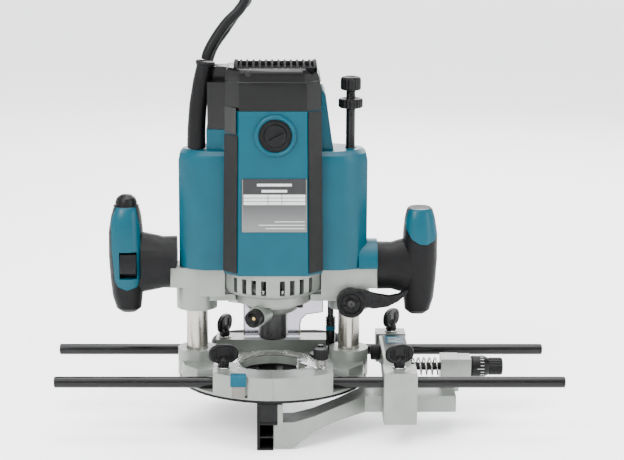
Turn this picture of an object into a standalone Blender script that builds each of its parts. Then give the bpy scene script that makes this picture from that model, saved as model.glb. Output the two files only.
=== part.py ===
"""Plunge router with an edge guide on two rods.

Sizes below are millimetres, and the helpers scale them to Blender's metres. The origin is on the
spindle's axis in the plane of the sole, +Z is up, the operator's side is -Y, and the guide is at +X.
The head stands part way down its plunge.
"""

import math

import bmesh
import bpy
from mathutils import Matrix, Vector

MM = 0.001
GAP = 0.3  # between pieces that touch

# Base and columns
SOLE_R = 84.7
SOLE_T = 2.0
BASE_R = 84.4
BASE_Z = SOLE_T + GAP
REAR_Y = 66.0
FLANGE_TOP = 4.2
DECK_TOP = 10.0
FRONT_BOSS_TOP = 22.5
REAR_BOSS_TOP = 21.5
BOSS_HALF = 52.5
OPENING_R = 30.0
RECESS_R = 44.0
COLUMN_X = 68.3
COLUMN_R = 9.6
COLUMN_BORE_R = 7.2
COLUMN_TOP = 158.0
COLUMN_BOSS_R = 17.5
COLUMN_BOSS_TOP = 27.0
SPRING_FOOT = 30.5

# Edge guide rods
ROD_R = 5.0
ROD_Y = 52.0
ROD_Z = 9.5
ROD_BORE_R = ROD_R + GAP
ROD_LENGTH = 450.0

# Head
SEAM_Z = 104.0  # between the silver bracket and the blue housing
BARREL_X = 43.5
BARREL_Y = 47.0
BARREL_CHAMFER = 13.0
BARREL_TOP = 249.0
BARREL_TAPER = 0.955
CORNER_CUT_Z = 228.5  # the cap hangs down to here at the left
WALL = 2.8
HEAD_BOSS_TOP = 210.0
BRUSH_Z = 228.0
BRUSH_X = 2.0
HANDLE_Z = 106.0
HANDLE_X = 131.0
LEVER = (69.0, 74.6)
POLE = (52.5, 18.0)
POLE_FOOT = 23.6
TURRET = (45.2, 20.5)
LAMP = (24.0, -18.0)
LAMP_TOP = 74.5
BRUSH_R = 14.0

# Fence
FENCE_BOTTOM = -43.3
SCREW_Y = -8.0
SCREW_Z = 11.0

# Cord
CORD_R = 4.5
HANK_LEFT = -62.0
HANK_RIGHT = 73.0
HANK_Y = 183.5
HANK_HALF = 31.5
HANK_HIGH = 27.0

UP = Matrix.Identity(4)
ALONG_X = Matrix.Rotation(math.radians(90), 4, "Y")
ALONG_Y = Matrix.Rotation(math.radians(-90), 4, "X")
FACING_Y = Matrix.Rotation(math.radians(90), 4, "X")
SIDEWAYS = Matrix.Rotation(math.radians(90), 4, "Z") @ FACING_Y  # an outline of (y, z), thick in x

# name: base colour, roughness, metallic
COLOURS = {
    "casting": ((0.58, 0.60, 0.57), 0.5, 0.6),
    "blue": ((0.0, 0.16, 0.23), 0.42, 0.0),
    "black_gloss": ((0.02, 0.02, 0.02), 0.2, 0.0),
    "black_plastic": ((0.025, 0.025, 0.025), 0.5, 0.0),
    "rubber": ((0.03, 0.03, 0.03), 0.7, 0.0),
    "steel": ((0.55, 0.53, 0.50), 0.25, 1.0),
    "black_steel": ((0.02, 0.02, 0.02), 0.2, 0.8),
    "clear": ((0.9, 0.9, 0.85), 0.1, 0.0),
    "copper": ((0.7, 0.35, 0.2), 0.35, 1.0),
    "plate": ((0.5, 0.5, 0.5), 0.35, 0.4),
}


# ---- helpers -------------------------------------------------------------------------------------


def empty_scene():
    for obj in list(bpy.data.objects):
        bpy.data.objects.remove(obj, do_unlink=True)


def new_collection(name):
    made = bpy.data.collections.new(name)
    bpy.context.scene.collection.children.link(made)
    return made


empty_scene()
PARTS = new_collection("plunge_router")
CUTTERS = new_collection("cutters")


def paint(obj, colour):
    base, roughness, metallic = COLOURS[colour]
    material = bpy.data.materials.new(obj.name)
    material.use_nodes = True
    shader = material.node_tree.nodes["Principled BSDF"]
    shader.inputs["Base Color"].default_value = (*base, 1.0)
    shader.inputs["Roughness"].default_value = roughness
    shader.inputs["Metallic"].default_value = metallic
    obj.data.materials.clear()
    obj.data.materials.append(material)


def tool(mesh, at=(0, 0, 0)):
    """A shape that cuts or joins another: it stays out of the render."""
    obj = bpy.data.objects.new("tool", mesh)
    obj.location = Vector(at) * MM
    obj.hide_render = True
    obj.display_type = "WIRE"
    CUTTERS.objects.link(obj)
    return obj


def piece(name, mesh, colour, at=(0, 0, 0)):
    """A part whose origin is at a point, in millimetres, around which its mesh is drawn."""
    obj = bpy.data.objects.new(name, mesh)
    obj.location = Vector(at) * MM
    PARTS.objects.link(obj)
    paint(obj, colour)
    return obj


def boolean(obj, operation, meshes, at=(0, 0, 0)):
    for mesh in meshes:
        modifier = obj.modifiers.new(operation.lower(), "BOOLEAN")
        modifier.operation = operation
        modifier.object = tool(mesh, at)


def cut(obj, *meshes, at=(0, 0, 0)):
    boolean(obj, "DIFFERENCE", meshes, at)


def join(obj, *meshes, at=(0, 0, 0)):
    boolean(obj, "UNION", meshes, at)


def round_edges(obj, width, segments=2, angle=40):
    bevel = obj.modifiers.new("edges", "BEVEL")
    bevel.width = width * MM
    bevel.segments = segments
    bevel.limit_method = "ANGLE"
    bevel.angle_limit = math.radians(angle)


def finished(bm, name, turn=UP, at=(0, 0, 0)):
    """The mesh of a bmesh drawn in millimetres, turned, moved and scaled to metres."""
    bmesh.ops.transform(bm, matrix=turn, verts=bm.verts)
    bmesh.ops.translate(bm, vec=Vector(at), verts=bm.verts)
    bmesh.ops.scale(bm, vec=(MM, MM, MM), verts=bm.verts)
    bmesh.ops.recalc_face_normals(bm, faces=bm.faces)
    mesh = bpy.data.meshes.new(name)
    bm.to_mesh(mesh)
    bm.free()
    return mesh


def block(low, high, turn=UP, at=(0, 0, 0)):
    """A box between two corners."""
    bm = bmesh.new()
    bmesh.ops.create_cube(bm, size=1.0)
    size = [b - a for a, b in zip(low, high)]
    middle = [(a + b) / 2 for a, b in zip(low, high)]
    bmesh.ops.scale(bm, vec=size, verts=bm.verts)
    bmesh.ops.translate(bm, vec=middle, verts=bm.verts)
    return finished(bm, "block", turn, at)


def rod(radius, start, end, turn=UP, at=(0, 0, 0), sides=24, end_radius=None):
    """A cylinder or cone from start to end along the axis that turn gives, through at."""
    bm = bmesh.new()
    far = radius if end_radius is None else end_radius
    bmesh.ops.create_cone(
        bm, cap_ends=True, segments=sides, radius1=radius, radius2=far, depth=end - start
    )
    bmesh.ops.translate(bm, vec=(0, 0, (start + end) / 2), verts=bm.verts)
    return finished(bm, "rod", turn, at)


def ball(radii, at, rings=10, sides=18):
    bm = bmesh.new()
    bmesh.ops.create_uvsphere(bm, u_segments=sides, v_segments=rings, radius=1.0)
    bmesh.ops.scale(bm, vec=radii, verts=bm.verts)
    return finished(bm, "ball", UP, at)


def loft(rings, turn=UP, at=(0, 0, 0)):
    """A closed skin through rings of equally many points, with a flat face on each end."""
    bm = bmesh.new()
    rows = [[bm.verts.new(point) for point in ring] for ring in rings]
    for low, high in zip(rows, rows[1:]):
        for i in range(len(low)):
            j = (i + 1) % len(low)
            bm.faces.new((low[i], low[j], high[j], high[i]))
    bm.faces.new(list(reversed(rows[0])))
    bm.faces.new(rows[-1])
    return finished(bm, "loft", turn, at)


def prism(outline, low, high, turn=UP, at=(0, 0, 0)):
    """A flat outline given thickness, made as a filled curve."""
    curve = bpy.data.curves.new("outline", "CURVE")
    curve.dimensions = "2D"
    curve.fill_mode = "BOTH"
    curve.extrude = (high - low) / 2
    spline = curve.splines.new("POLY")
    spline.points.add(len(outline) - 1)
    spline.use_cyclic_u = True
    for point, (x, y) in zip(spline.points, outline):
        point.co = (x, y, 0, 1)
    return mesh_of_curve(curve, turn, at, lift=(low + high) / 2)


def mesh_of_curve(curve, turn=UP, at=(0, 0, 0), lift=0.0):
    guide = bpy.data.objects.new("guide", curve)
    CUTTERS.objects.link(guide)
    seen = guide.evaluated_get(bpy.context.evaluated_depsgraph_get())
    mesh = bpy.data.meshes.new_from_object(seen)
    bpy.data.objects.remove(guide, do_unlink=True)
    bm = bmesh.new()
    bm.from_mesh(mesh)
    bmesh.ops.remove_doubles(bm, verts=bm.verts, dist=0.001)
    bmesh.ops.translate(bm, vec=(0, 0, lift), verts=bm.verts)
    return finished(bm, "curve", turn, at)


def tube(points, radius, sides_setting=2, closed=False):
    """A round tube along points in millimetres, with filled caps."""
    curve = bpy.data.curves.new("tube", "CURVE")
    curve.dimensions = "3D"
    curve.bevel_depth = radius
    curve.bevel_resolution = sides_setting
    curve.use_fill_caps = True
    spline = curve.splines.new("POLY")
    spline.points.add(len(points) - 1)
    spline.use_cyclic_u = closed
    for knot, point in zip(spline.points, points):
        knot.co = (*point, 1)
    return mesh_of_curve(curve)


def turned(name, profile, colour, at=(0, 0, 0), steps=32, closed=False):
    """A turned piece: the profile of (radius, height) runs down its outer side."""
    bm = bmesh.new()
    knots = [bm.verts.new((r * MM, 0, z * MM)) for r, z in profile]
    for a, b in zip(knots, knots[1:]):
        bm.edges.new((a, b))
    if closed:
        bm.edges.new((knots[-1], knots[0]))
    mesh = bpy.data.meshes.new(name)
    bm.to_mesh(mesh)
    bm.free()
    obj = piece(name, mesh, colour, at)
    screw = obj.modifiers.new("turn", "SCREW")
    screw.steps = steps
    screw.render_steps = steps
    screw.use_merge_vertices = True
    screw.merge_threshold = 0.00001
    return obj


def ellipse(cx, cy, rx, ry, z, count=20, power=2.0):
    """A level ring; a power above 2 squares it off."""
    points = []
    for i in range(count):
        a = 2 * math.pi * i / count
        c, s = math.cos(a), math.sin(a)
        points.append(
            (
                cx + rx * math.copysign(abs(c) ** (2 / power), c),
                cy + ry * math.copysign(abs(s) ** (2 / power), s),
                z,
            )
        )
    return points


def arc(radius, start, end, count, centre=(0, 0)):
    """Points on an arc between two angles in degrees, ends included."""
    step = (end - start) / (count - 1)
    angles = [math.radians(start + step * i) for i in range(count)]
    return [
        (centre[0] + radius * math.cos(a), centre[1] + radius * math.sin(a)) for a in angles
    ]


def cut_round(radius, rear_y, count=42):
    """A disc's outline cut straight at the rear."""
    corner = math.degrees(math.asin(rear_y / radius))
    return arc(radius, 180 - corner, 360 + corner, count)


def octagon(half_x, half_y, chamfer, scale=1.0, inset=0.0):
    x, y = half_x * scale - inset, half_y * scale - inset
    c = chamfer * scale - 0.586 * inset
    corners = [(x, -y + c), (x, y - c), (x - c, y), (-x + c, y)]
    corners += [(-x, y - c), (-x, -y + c), (-x + c, -y), (x - c, -y)]
    return corners


def at_height(outline, z):
    return [(x, y, z) for x, y in outline]


def helix(radius, start, end, turns, points_a_turn=8, centre=(0, 0)):
    count = turns * points_a_turn
    spots = []
    for i in range(count + 1):
        a = 2 * math.pi * i / points_a_turn
        z = start + (end - start) * i / count
        spots.append((centre[0] + radius * math.cos(a), centre[1] + radius * math.sin(a), z))
    return spots


def smooth_route(knots, spacing):
    """Points every spacing along a Catmull-Rom curve through the knots."""
    line = [Vector(k) for k in knots]
    padded = [2 * line[0] - line[1], *line, 2 * line[-1] - line[-2]]
    fine = []
    for a, b, c, d in zip(padded, padded[1:], padded[2:], padded[3:]):
        for i in range(24):
            t = i / 24
            fine.append(
                0.5
                * (
                    2 * b
                    + (c - a) * t
                    + (2 * a - 5 * b + 4 * c - d) * t**2
                    + (3 * b - a - 3 * c + d) * t**3
                )
            )
    fine.append(line[-1])
    length = sum((b - a).length for a, b in zip(fine, fine[1:]))
    count = round(length / spacing)
    step = length / count
    route = [fine[0]]
    travelled = 0.0
    for a, b in zip(fine, fine[1:]):
        travelled += (b - a).length
        if travelled >= step * len(route) - 1e-6 and len(route) < count:
            route.append(b)
    route.append(fine[-1])
    return route


# ---- base ----------------------------------------------------------------------------------------


def base_casting():
    obj = piece("base_casting", prism(cut_round(BASE_R, REAR_Y), BASE_Z, FLANGE_TOP), "casting")
    deck = [(62, -30), (46, -46), (-46, -46), (-62, -30), (-62, 30), (-46, 46), (46, 46), (62, 30)]
    join(obj, prism(deck, BASE_Z + 0.2, DECK_TOP))
    corner = math.degrees(math.acos(BOSS_HALF / (BASE_R - 0.2)))
    front = arc(BASE_R - 0.2, 180 + corner, 360 - corner, 17)
    front += [(BOSS_HALF, -35), (-BOSS_HALF, -35)]
    join(obj, prism(front, BASE_Z + 0.1, FRONT_BOSS_TOP))
    rear_low = (-BOSS_HALF, 42, BASE_Z + 0.1)
    join(obj, block(rear_low, (BOSS_HALF, REAR_Y - 0.3, REAR_BOSS_TOP)))
    for side in (-1, 1):
        lobe = [(50, -41), (68, -41), (80.5, -25), (83.5, -6), (83.5, 6), (80.5, 25)]
        lobe += [(68, 41), (50, 41)]
        outline = [(side * x, y) for x, y in lobe]
        low = at_height(outline, BASE_Z + 0.15)
        high = at_height([(x * 0.985, y * 0.93) for x, y in outline], 17.0)
        join(obj, loft([low, high]))
        column = (side * COLUMN_X, 0, 0)
        join(obj, rod(COLUMN_BOSS_R, BASE_Z + 0.25, COLUMN_BOSS_TOP, at=column, sides=28))
        cut(obj, rod(COLUMN_R + 0.4, 4.0, 30.0, at=column, sides=28))
        rod_hole = (0, side * ROD_Y, ROD_Z)
        cut(obj, rod(ROD_BORE_R, -100, 100, ALONG_X, rod_hole, sides=20))
    cut(obj, rod(OPENING_R, 0, DECK_TOP, sides=40))
    cut(obj, rod(RECESS_R, DECK_TOP - 0.6, 30, sides=40))
    cut(obj, block((-31, -58, FRONT_BOSS_TOP - 5), (34, -30, 30)))
    cut(obj, rod(12.2, DECK_TOP, 30, at=(*TURRET, 0), sides=24))
    for x, y in ((-43.5, -ROD_Y), (-45.0, ROD_Y)):
        cut(obj, rod(3.2, ROD_Z + 2, 30, at=(x, y, 0), sides=12))
    cut(obj, block((-38, -90, FLANGE_TOP), (-22, -77.5, 30)))
    return obj


def sole_plate():
    obj = piece("sole_plate", prism(cut_round(SOLE_R, REAR_Y + 0.3), 0, SOLE_T), "black_plastic")
    cut(obj, rod(OPENING_R + 0.5, -1, 3, sides=40))
    return obj


def column(name, side):
    profile = [(0, SPRING_FOOT - 0.5), (COLUMN_BORE_R, SPRING_FOOT - 0.5)]
    profile += [(COLUMN_BORE_R, COLUMN_TOP), (COLUMN_R - 0.6, COLUMN_TOP)]
    profile += [(COLUMN_R, COLUMN_TOP - 1), (COLUMN_R, 4.3), (0, 4.3)]
    return turned(name, profile, "steel", at=(side * COLUMN_X, 0, 0), steps=28)


def plunge_spring(name, side):
    wire = 0.6
    top = HEAD_BOSS_TOP - WALL - 2.2
    route = helix(5.9, SPRING_FOOT + wire + 0.1, top, 8, centre=(side * COLUMN_X, 0))
    return piece(name, tube(route, wire), "steel")


def stop_screw():
    """The threaded rod that stands in the right column, with its knob."""
    place = (COLUMN_X, 0, 0)
    obj = piece("stop_screw", rod(4.4, SPRING_FOOT, 265, sides=20), "black_steel", at=place)
    join(obj, rod(9.0, 261.5, 271.5, sides=24), at=place)
    join(obj, rod(9.0, 271.4, 273.3, sides=24, end_radius=7.6), at=place)
    return obj


def stop_nut():
    profile = [(4.8, 245.6), (4.8, 254), (9.6, 254), (10.75, 252.8), (10.75, 246.8), (9.6, 245.6)]
    return turned("stop_nut", profile, "black_plastic", at=(COLUMN_X, 0, 0), steps=28, closed=True)


def turret_block():
    """The turning stop block with its three stop bolts of different heights."""
    place = (*TURRET, 0)
    obj = piece("turret_block", rod(11.5, DECK_TOP + GAP, 15.0, sides=24), "black_plastic", place)
    reach = math.dist(TURRET, POLE)
    toward_pole = math.atan2(POLE[1] - TURRET[1], POLE[0] - TURRET[0])
    for k, height in enumerate((POLE_FOOT - GAP, 20.5, 17.5)):
        angle = toward_pole + k * 2 * math.pi / 3
        spot = (TURRET[0] + reach * math.cos(angle), TURRET[1] + reach * math.sin(angle), 0)
        join(obj, rod(2.8, 12, height, at=(spot[0] - TURRET[0], spot[1] - TURRET[1], 0), sides=6),
             at=place)
    return obj


def wing_screw(name, x, y, foot, seat, turn_deg, size=1.0):
    """A thumb screw standing on its seat, with a flat oval wing."""
    place = (x, y, 0)
    obj = piece(name, rod(2.6, foot, seat + 6, sides=12), "black_plastic", place)
    join(obj, rod(5.2, seat + GAP, seat + 2.6, sides=16), at=place)
    join(obj, rod(3.6, seat + 2.4, seat + 12, sides=12, end_radius=3.0), at=place)
    height = 8.6 * size
    wing = ball((13.2 * size, 2.7, height), (0, 0, 0), rings=6, sides=12)
    wing.transform(Matrix.Rotation(math.radians(turn_deg), 4, "Z"))
    wing.transform(Matrix.Translation((0, 0, (seat + 4.4 + height) * MM)))
    join(obj, wing, at=place)
    return obj


def clear_ring():
    """The clear insert around the cutter, with an arm to its post on the front boss."""
    foot = DECK_TOP - 0.1
    profile = [(31.5, foot), (31.5, foot + 2.5), (40.5, foot + 2.5), (43.2, foot + 1.3)]
    profile += [(43.2, foot)]
    obj = turned("clear_ring", profile, "clear", steps=36, closed=True)
    post = Vector((42.0, -ROD_Y))
    turn = Matrix.Rotation(math.atan2(post.y, post.x), 4, "Z")
    join(obj, block((39.2, -4.4, foot + 0.6), (42.9, 4.4, 24.8), turn))
    join(obj, block((39.4, -4.3, FRONT_BOSS_TOP + GAP), (post.length, 4.3, 24.7), turn))
    join(obj, rod(5.6, FRONT_BOSS_TOP + GAP + 0.05, 30.4, at=(*post, 0), sides=24))
    cut(obj, rod(2.4, 20, 32, at=(*post, 0), sides=12))
    cut(obj, rod(12.2, foot - 1, foot + 6, at=(*TURRET, 0), sides=24))
    return obj


def nozzle_knob():
    place = (42.0, -ROD_Y, 0)
    obj = piece("nozzle_knob", rod(6.6, 30.7, 40.2, sides=28), "black_plastic", place)
    join(obj, rod(2.1, FRONT_BOSS_TOP + 0.4, 33, sides=12), at=place)
    return obj


def chip_deflector():
    """A clear wall behind the cutter, wider at its top, on a foot on the rear boss."""
    face = [(-27, 21.9), (-27, 54), (-41, 56), (-41, 71), (46, 71), (46, 46), (31, 44)]
    face += [(26, 39), (25, 34), (25, 21.9)]
    obj = piece("chip_deflector", prism(face, -50.9, -48.9, FACING_Y), "clear")
    join(obj, block((-26.8, 49.1, 21.8), (24.8, 57, 23.8)))
    return obj


def template_lock():
    """The sprung lock for template guides: a steel strip with a moulded tab."""
    place = (-30.0, -83.0, FLANGE_TOP + GAP)
    obj = piece("template_lock", block((-5.4, -0.9, 0), (5.4, 0.4, 13)), "blue", place)
    side = [(-1.9, 10.6), (-1.9, 18.5), (-0.4, 20.8), (4.9, 20.8), (4.9, 18.4), (1.6, 18.4)]
    side += [(1.6, 10.6)]
    join(obj, prism(side, -6.9, 6.9, SIDEWAYS), at=place)
    return obj


# ---- head: castings and covers -------------------------------------------------------------------


def motor_bracket():
    """The silver lower casting: vent bowl, spindle nose, and the bosses that ride the columns."""
    outer = [(45.5, SEAM_Z - 0.1), (45.5, 87.5), (43.8, 83.2), (34.8, 80.0)]
    outer += [(34.8, 72.5), (26.5, 71.8), (26.5, 68.5), (20.5, 62.5), (16.0, 60.6)]
    inner = [(11.3, 60.6), (11.3, 64.0), (16.3, 64.0), (16.3, 76.5), (22.0, 78.5)]
    inner += [(36.5, 84.0), (41.0, 90.0), (41.0, SEAM_Z - 0.1)]
    obj = turned("motor_bracket", outer + inner, "casting", steps=32, closed=True)
    for side in (-1, 1):
        low, high = sorted((side * 42.8, side * 66.0))
        join(obj, block((low, -18.4, 78.5), (high, 23.5, SEAM_Z - 0.15)))
        low, high = sorted((side * 33.5, side * 62.0))
        join(obj, block((low, -14, 73.5), (high, 14, 79.5)))
    left_flange = [(-91.4, -14), (-66, -17), (-66, 17), (-91.4, 14)]
    join(obj, prism(left_flange, 85.5, SEAM_Z - 0.25))
    right_arm = [(66, -17), (92.6, -16.2), (92.6, 16.2), (66, 17)]
    join(obj, prism(right_arm, 85.5, SEAM_Z - 0.25))
    for side in (-1, 1):
        column_axis = (side * COLUMN_X, 0, 0)
        join(obj, rod(18.3, 65.0, SEAM_Z - 0.05, at=column_axis, sides=28))
        cut(obj, rod(COLUMN_R + 0.4, 60, 110, at=column_axis, sides=28))
    cut(obj, rod(4.9, 60, 110, at=(*POLE, 0), sides=16))
    add_button_boss(obj)
    for angle in (10.5, 22.0, 34.0, 47.0):
        for middle in (-90, 90):
            for side in (-1, 1):
                turn = Matrix.Rotation(math.radians(middle + side * angle), 4, "Z")
                cut(obj, block((37.5, -2.3, 85.5), (50, 2.3, 99.0), turn))
    cut(obj, rod(3.3, 67, LAMP_TOP + GAP, at=(*LAMP, 0), sides=14))
    return obj


BUTTON_TURN = Matrix.Rotation(math.radians(-112), 4, "Z") @ ALONG_X
BUTTON_START = (-5.0, -14.0, 64.8)


def add_button_boss(bracket):
    """A round boss for the shaft lock, open at its front, with a bore for the button's stem."""
    join(bracket, rod(8.9, 8.5, 26.6, BUTTON_TURN, BUTTON_START, sides=20))
    cut(bracket, rod(8.1, 20.0, 40, BUTTON_TURN, BUTTON_START, sides=20))
    cut(bracket, rod(3.5, 9.6, 30, BUTTON_TURN, BUTTON_START, sides=12))


def shaft_lock_button():
    """The button in its own frame: it slides along the boss's axis."""
    direction = BUTTON_TURN @ Vector((0, 0, 1))
    place = Vector(BUTTON_START) + direction * 30
    mesh = rod(7.6, -6.0, 4.2, BUTTON_TURN, sides=20)
    obj = piece("shaft_lock_button", mesh, "black_plastic", place)
    join(obj, rod(3.0, -16.0, 0, BUTTON_TURN, sides=12), at=place)
    cut(obj, rod(3.4, 1.6, 8, BUTTON_TURN, sides=20, end_radius=8.9), at=place)
    return obj


def boss_outline(side, inset=0.0):
    """The plan of a column boss of the housing."""
    front = [(38, -26), (60, -26), (74, -20.5), (83.4, -9)]
    front = [(x - (inset if x > 38 else 0), y + inset) for x, y in front]
    both = front + [(x, -y) for x, y in reversed(front)]
    return [(side * x, y) for x, y in both]


def boss_rings(side):
    levels = ((SEAM_Z + GAP, 0.0), (200.0, 0.0), (206.5, 1.2), (HEAD_BOSS_TOP, 4.5))
    return [at_height(boss_outline(side, inset), z) for z, inset in levels]


def barrel_rings(low, high, inset=0.0):
    """The motor barrel narrows a little toward its top."""
    rings = []
    for z in (low, high):
        rise = (z - SEAM_Z) / (BARREL_TOP - SEAM_Z)
        scale = 1 - (1 - BARREL_TAPER) * rise
        rings.append(at_height(octagon(BARREL_X, BARREL_Y, BARREL_CHAMFER, scale, inset), z))
    return rings


def motor_housing():
    obj = piece("motor_housing", loft(barrel_rings(SEAM_Z + 0.2, BARREL_TOP)), "blue")
    for side in (-1, 1):
        join(obj, loft(boss_rings(side)))
    tower = [(-58.5, -14), (-36, -18), (-36, 32), (-58.5, 32)]
    join(obj, prism(tower, 198, CORNER_CUT_Z))
    spine = [(36, 196), (53.5, 207), (46.0, 259), (43.6, 263), (42.2, 261), (42.2, BARREL_TOP - 2)]
    spine += [(36, BARREL_TOP - 2)]
    join(obj, prism(spine, -31, 15, FACING_Y))
    join(obj, rod(21.2, 76, 92.8, ALONG_X, (0, 0, HANDLE_Z), sides=32))
    cut(obj, block((60, -40, 60), (110, 40, SEAM_Z + GAP)))
    for side in (-1, 1):
        turn = FACING_Y if side < 0 else ALONG_Y
        brush_axis = (BRUSH_X, 0, BRUSH_Z)
        join(obj, rod(BRUSH_R + 4.3, 38, 46.9, turn, brush_axis, sides=32))
        cut(obj, rod(BRUSH_R + 0.5, 34, 60, turn, brush_axis, sides=32))
    cut(obj, loft(barrel_rings(SEAM_Z - 5, BARREL_TOP + 5, WALL)))
    for side in (-1, 1):
        inner = boss_outline(side, WALL)
        cut(obj, prism(inner, SEAM_Z - 5, HEAD_BOSS_TOP - 1.2 - WALL))
    cut(obj, block((-70, -60, CORNER_CUT_Z), (-31.5, 60, 260)))
    cut(obj, rod(5.2, 190, 230, at=(COLUMN_X, 0, 0), sides=20))
    cut(obj, block((-8, 36, 185.6), (8, 52, 202.4)))
    return obj


def corner_strip(name, side, top):
    """A rubber strip on a front corner of the barrel."""
    rings = []
    for z in (SEAM_Z + 2.5, top):
        scale = 1 - (1 - BARREL_TAPER) * (z - SEAM_Z) / (BARREL_TOP - SEAM_Z)
        x, y, c = BARREL_X * scale, BARREL_Y * scale, BARREL_CHAMFER * scale
        off = 0.25
        inner = [(x + off - 0.6, -y + c - off - 0.6), (x - c + off + 0.6, -y - off + 0.6)]
        outer = [(px + 0.9, py - 0.9) for px, py in reversed(inner)]
        rings.append([(side * px, py, z) for px, py in inner + outer])
    return piece(name, loft(rings), "rubber")


def top_cap():
    """The glossy cap over the motor's top, with a side arm beside the cord guard."""
    scale = BARREL_TAPER
    levels = (
        (BARREL_TOP + GAP, 1.0, 0.0),
        (270.0, 0.992, 0.0),
        (278.0, 0.975, -0.8),
        (283.0, 0.93, -1.6),
        (285.0, 0.88, -2.0),
    )
    rings = []
    for z, size, shift in levels:
        outline = octagon(BARREL_X, BARREL_Y, BARREL_CHAMFER, scale * size)
        rings.append([(x + shift, y, z) for x, y in outline])
    obj = piece("top_cap", loft(rings), "black_gloss")
    corner = octagon(BARREL_X, BARREL_Y, BARREL_CHAMFER, scale * 1.006)
    corner = [(min(x, -31.8), y) for x, y in corner]
    keep = [corner[i] for i in (3, 4, 5, 6)]
    join(obj, prism(keep, CORNER_CUT_Z + GAP, BARREL_TOP + 3))
    tower = [(-57.6, -13.5), (-38, -17.5), (-38, 31.5), (-57.6, 31.5)]
    join(obj, prism(tower, CORNER_CUT_Z + GAP + 0.05, 270))
    arm = [(-59.5, 3), (-36, 1), (-36, 24), (-59.5, 24)]
    join(obj, prism(arm, 262, 281.5))
    cut(obj, loft(guard_rings(0.6)))
    cut(obj, loft([at_height(octagon(BARREL_X, BARREL_Y, BARREL_CHAMFER, scale * 0.93), z)
                   for z in (222.0, 275.0)]))
    cut(obj, block((-56, -11, 222), (-35, 29, 266)))
    cut(obj, block((-31, -31, 270), (33, 31, 300)))
    slope = [(2, 285.2), (60, 274.5), (60, 300), (2, 300)]
    cut(obj, prism(slope, -70, 70, SIDEWAYS))
    return obj


def air_grille():
    """A slotted cover over the air inlet, its slots running front to back."""
    section = [(-36, 285.4), (2, 285.5), (36, 279.3), (36, 281.2), (33.5, 283.6), (2, 289.5)]
    section += [(-33.5, 289.3), (-36, 287.3)]
    obj = piece("air_grille", prism(section, -34, 38, SIDEWAYS), "black_plastic")
    pitch = 7.2
    for k in range(-4, 5):
        for low, high in ((-31, -1.2), (1.2, 31)):
            middle = 2 + k * pitch
            cut(obj, block((middle - 2.5, low, 270), (middle + 2.5, high, 295)))
    return obj


def brush_cap(name, side):
    """A screwed cap over a carbon brush, with a coin slot."""
    turn = FACING_Y if side < 0 else ALONG_Y
    place = (BRUSH_X, 0, BRUSH_Z)
    obj = piece(name, rod(BRUSH_R, 42.0, 46.2, turn, sides=36), "black_plastic", place)
    join(obj, rod(10.2, 46.0, 47.3, turn, sides=36, end_radius=9.4), at=place)
    slot = Matrix.Rotation(math.radians(-30), 4, "Y")
    low, high = (-7, 45.4, -1.0), (7, 50, 1.0)
    if side < 0:
        low, high = (-7, -50, -1.0), (7, -45.4, 1.0)
    cut(obj, block(low, high, slot), at=place)
    return obj


def rating_plate():
    rings = []
    for z in (143.6, 190.5):
        scale = 1 - (1 - BARREL_TAPER) * (z - SEAM_Z) / (BARREL_TOP - SEAM_Z)
        face = -BARREL_Y * scale - 0.25
        rings.append([(-27, face - 0.7, z), (29.5, face - 0.7, z), (29.5, face, z), (-27, face, z)])
    return piece("rating_plate", loft(rings), "plate")


def speed_dial():
    """The thumb wheel in the rear of the housing."""
    place = (0, 40.0, 194.0)
    return piece("speed_dial", rod(7.6, -6.5, 6.5, ALONG_X, sides=26), "black_plastic", place)


def work_lamp():
    return piece("work_lamp", rod(2.9, 68.6, LAMP_TOP, at=(*LAMP, 0), sides=16), "black_plastic")


GUARD_PATH = ((-67.5, -6.0, 211.0), (-67.3, -6.0, 228.0), (-65.6, -6.0, 250.0),
              (-62.5, -6.0, 270.0), (-59.3, -6.0, 284.5))


def guard_rings(clearance=0.0):
    rings = []
    for k, (x, y, z) in enumerate(GUARD_PATH):
        radius = 8.2 - 0.2 * k + clearance
        rings.append(ellipse(x, y, radius, radius, z, 20))
    return rings


def cord_guard():
    """A tapered rubber sleeve where the cord leaves, with a lip at its top."""
    rings = guard_rings()
    x, y, z = GUARD_PATH[-1]
    rings.append(ellipse(x + 0.1, y, 8.4, 8.4, z + 0.3, 20))
    rings.append(ellipse(x + 0.5, y, 8.4, 8.4, z + 2.2, 20))
    return piece("cord_guard", loft(rings), "rubber")


# ---- head: handles and controls ------------------------------------------------------------------

# height, middle x, half width, half depth of the left grip, from its foot up
LEFT_GRIP = (
    (61.0, 129.6, 7.0, 7.0),
    (64.5, 129.6, 11.2, 11.5),
    (76.0, 130.6, 13.6, 14.0),
    (92.0, 131.0, 14.8, 16.0),
    (112.0, 131.4, 15.6, 17.0),
    (134.0, 131.4, 15.4, 17.0),
    (148.0, 130.9, 13.6, 15.5),
    (155.5, 130.7, 11.6, 13.0),
    (157.5, 130.7, 9.8, 11.0),
)


def grip_rings(side, low=0.0, grow=0.0):
    rings = []
    for z, x, half_x, half_y in LEFT_GRIP:
        shift = low
        rings.append(ellipse(side * x, 0, half_x + grow, half_y + grow, z + shift, 24, 2.4))
    return rings


def neck(side, start, end):
    """The rubber neck between a grip and the head, flaring into the grip."""
    rings = []
    for x, high, deep in ((start, 24.3, 19.0), (start + 12, 24.0, 18.0), (end, 30.0, 15.0)):
        rings.append(
            [(side * x, deep * 0.98 * math.cos(a), HANDLE_Z + (high if side < 0 else high - 2.2)
              * math.sin(a) * 0.98 - (0 if side < 0 else 3.0))
             for a in [2 * math.pi * i / 24 for i in range(24)]]
        )
    return loft(rings)


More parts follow.
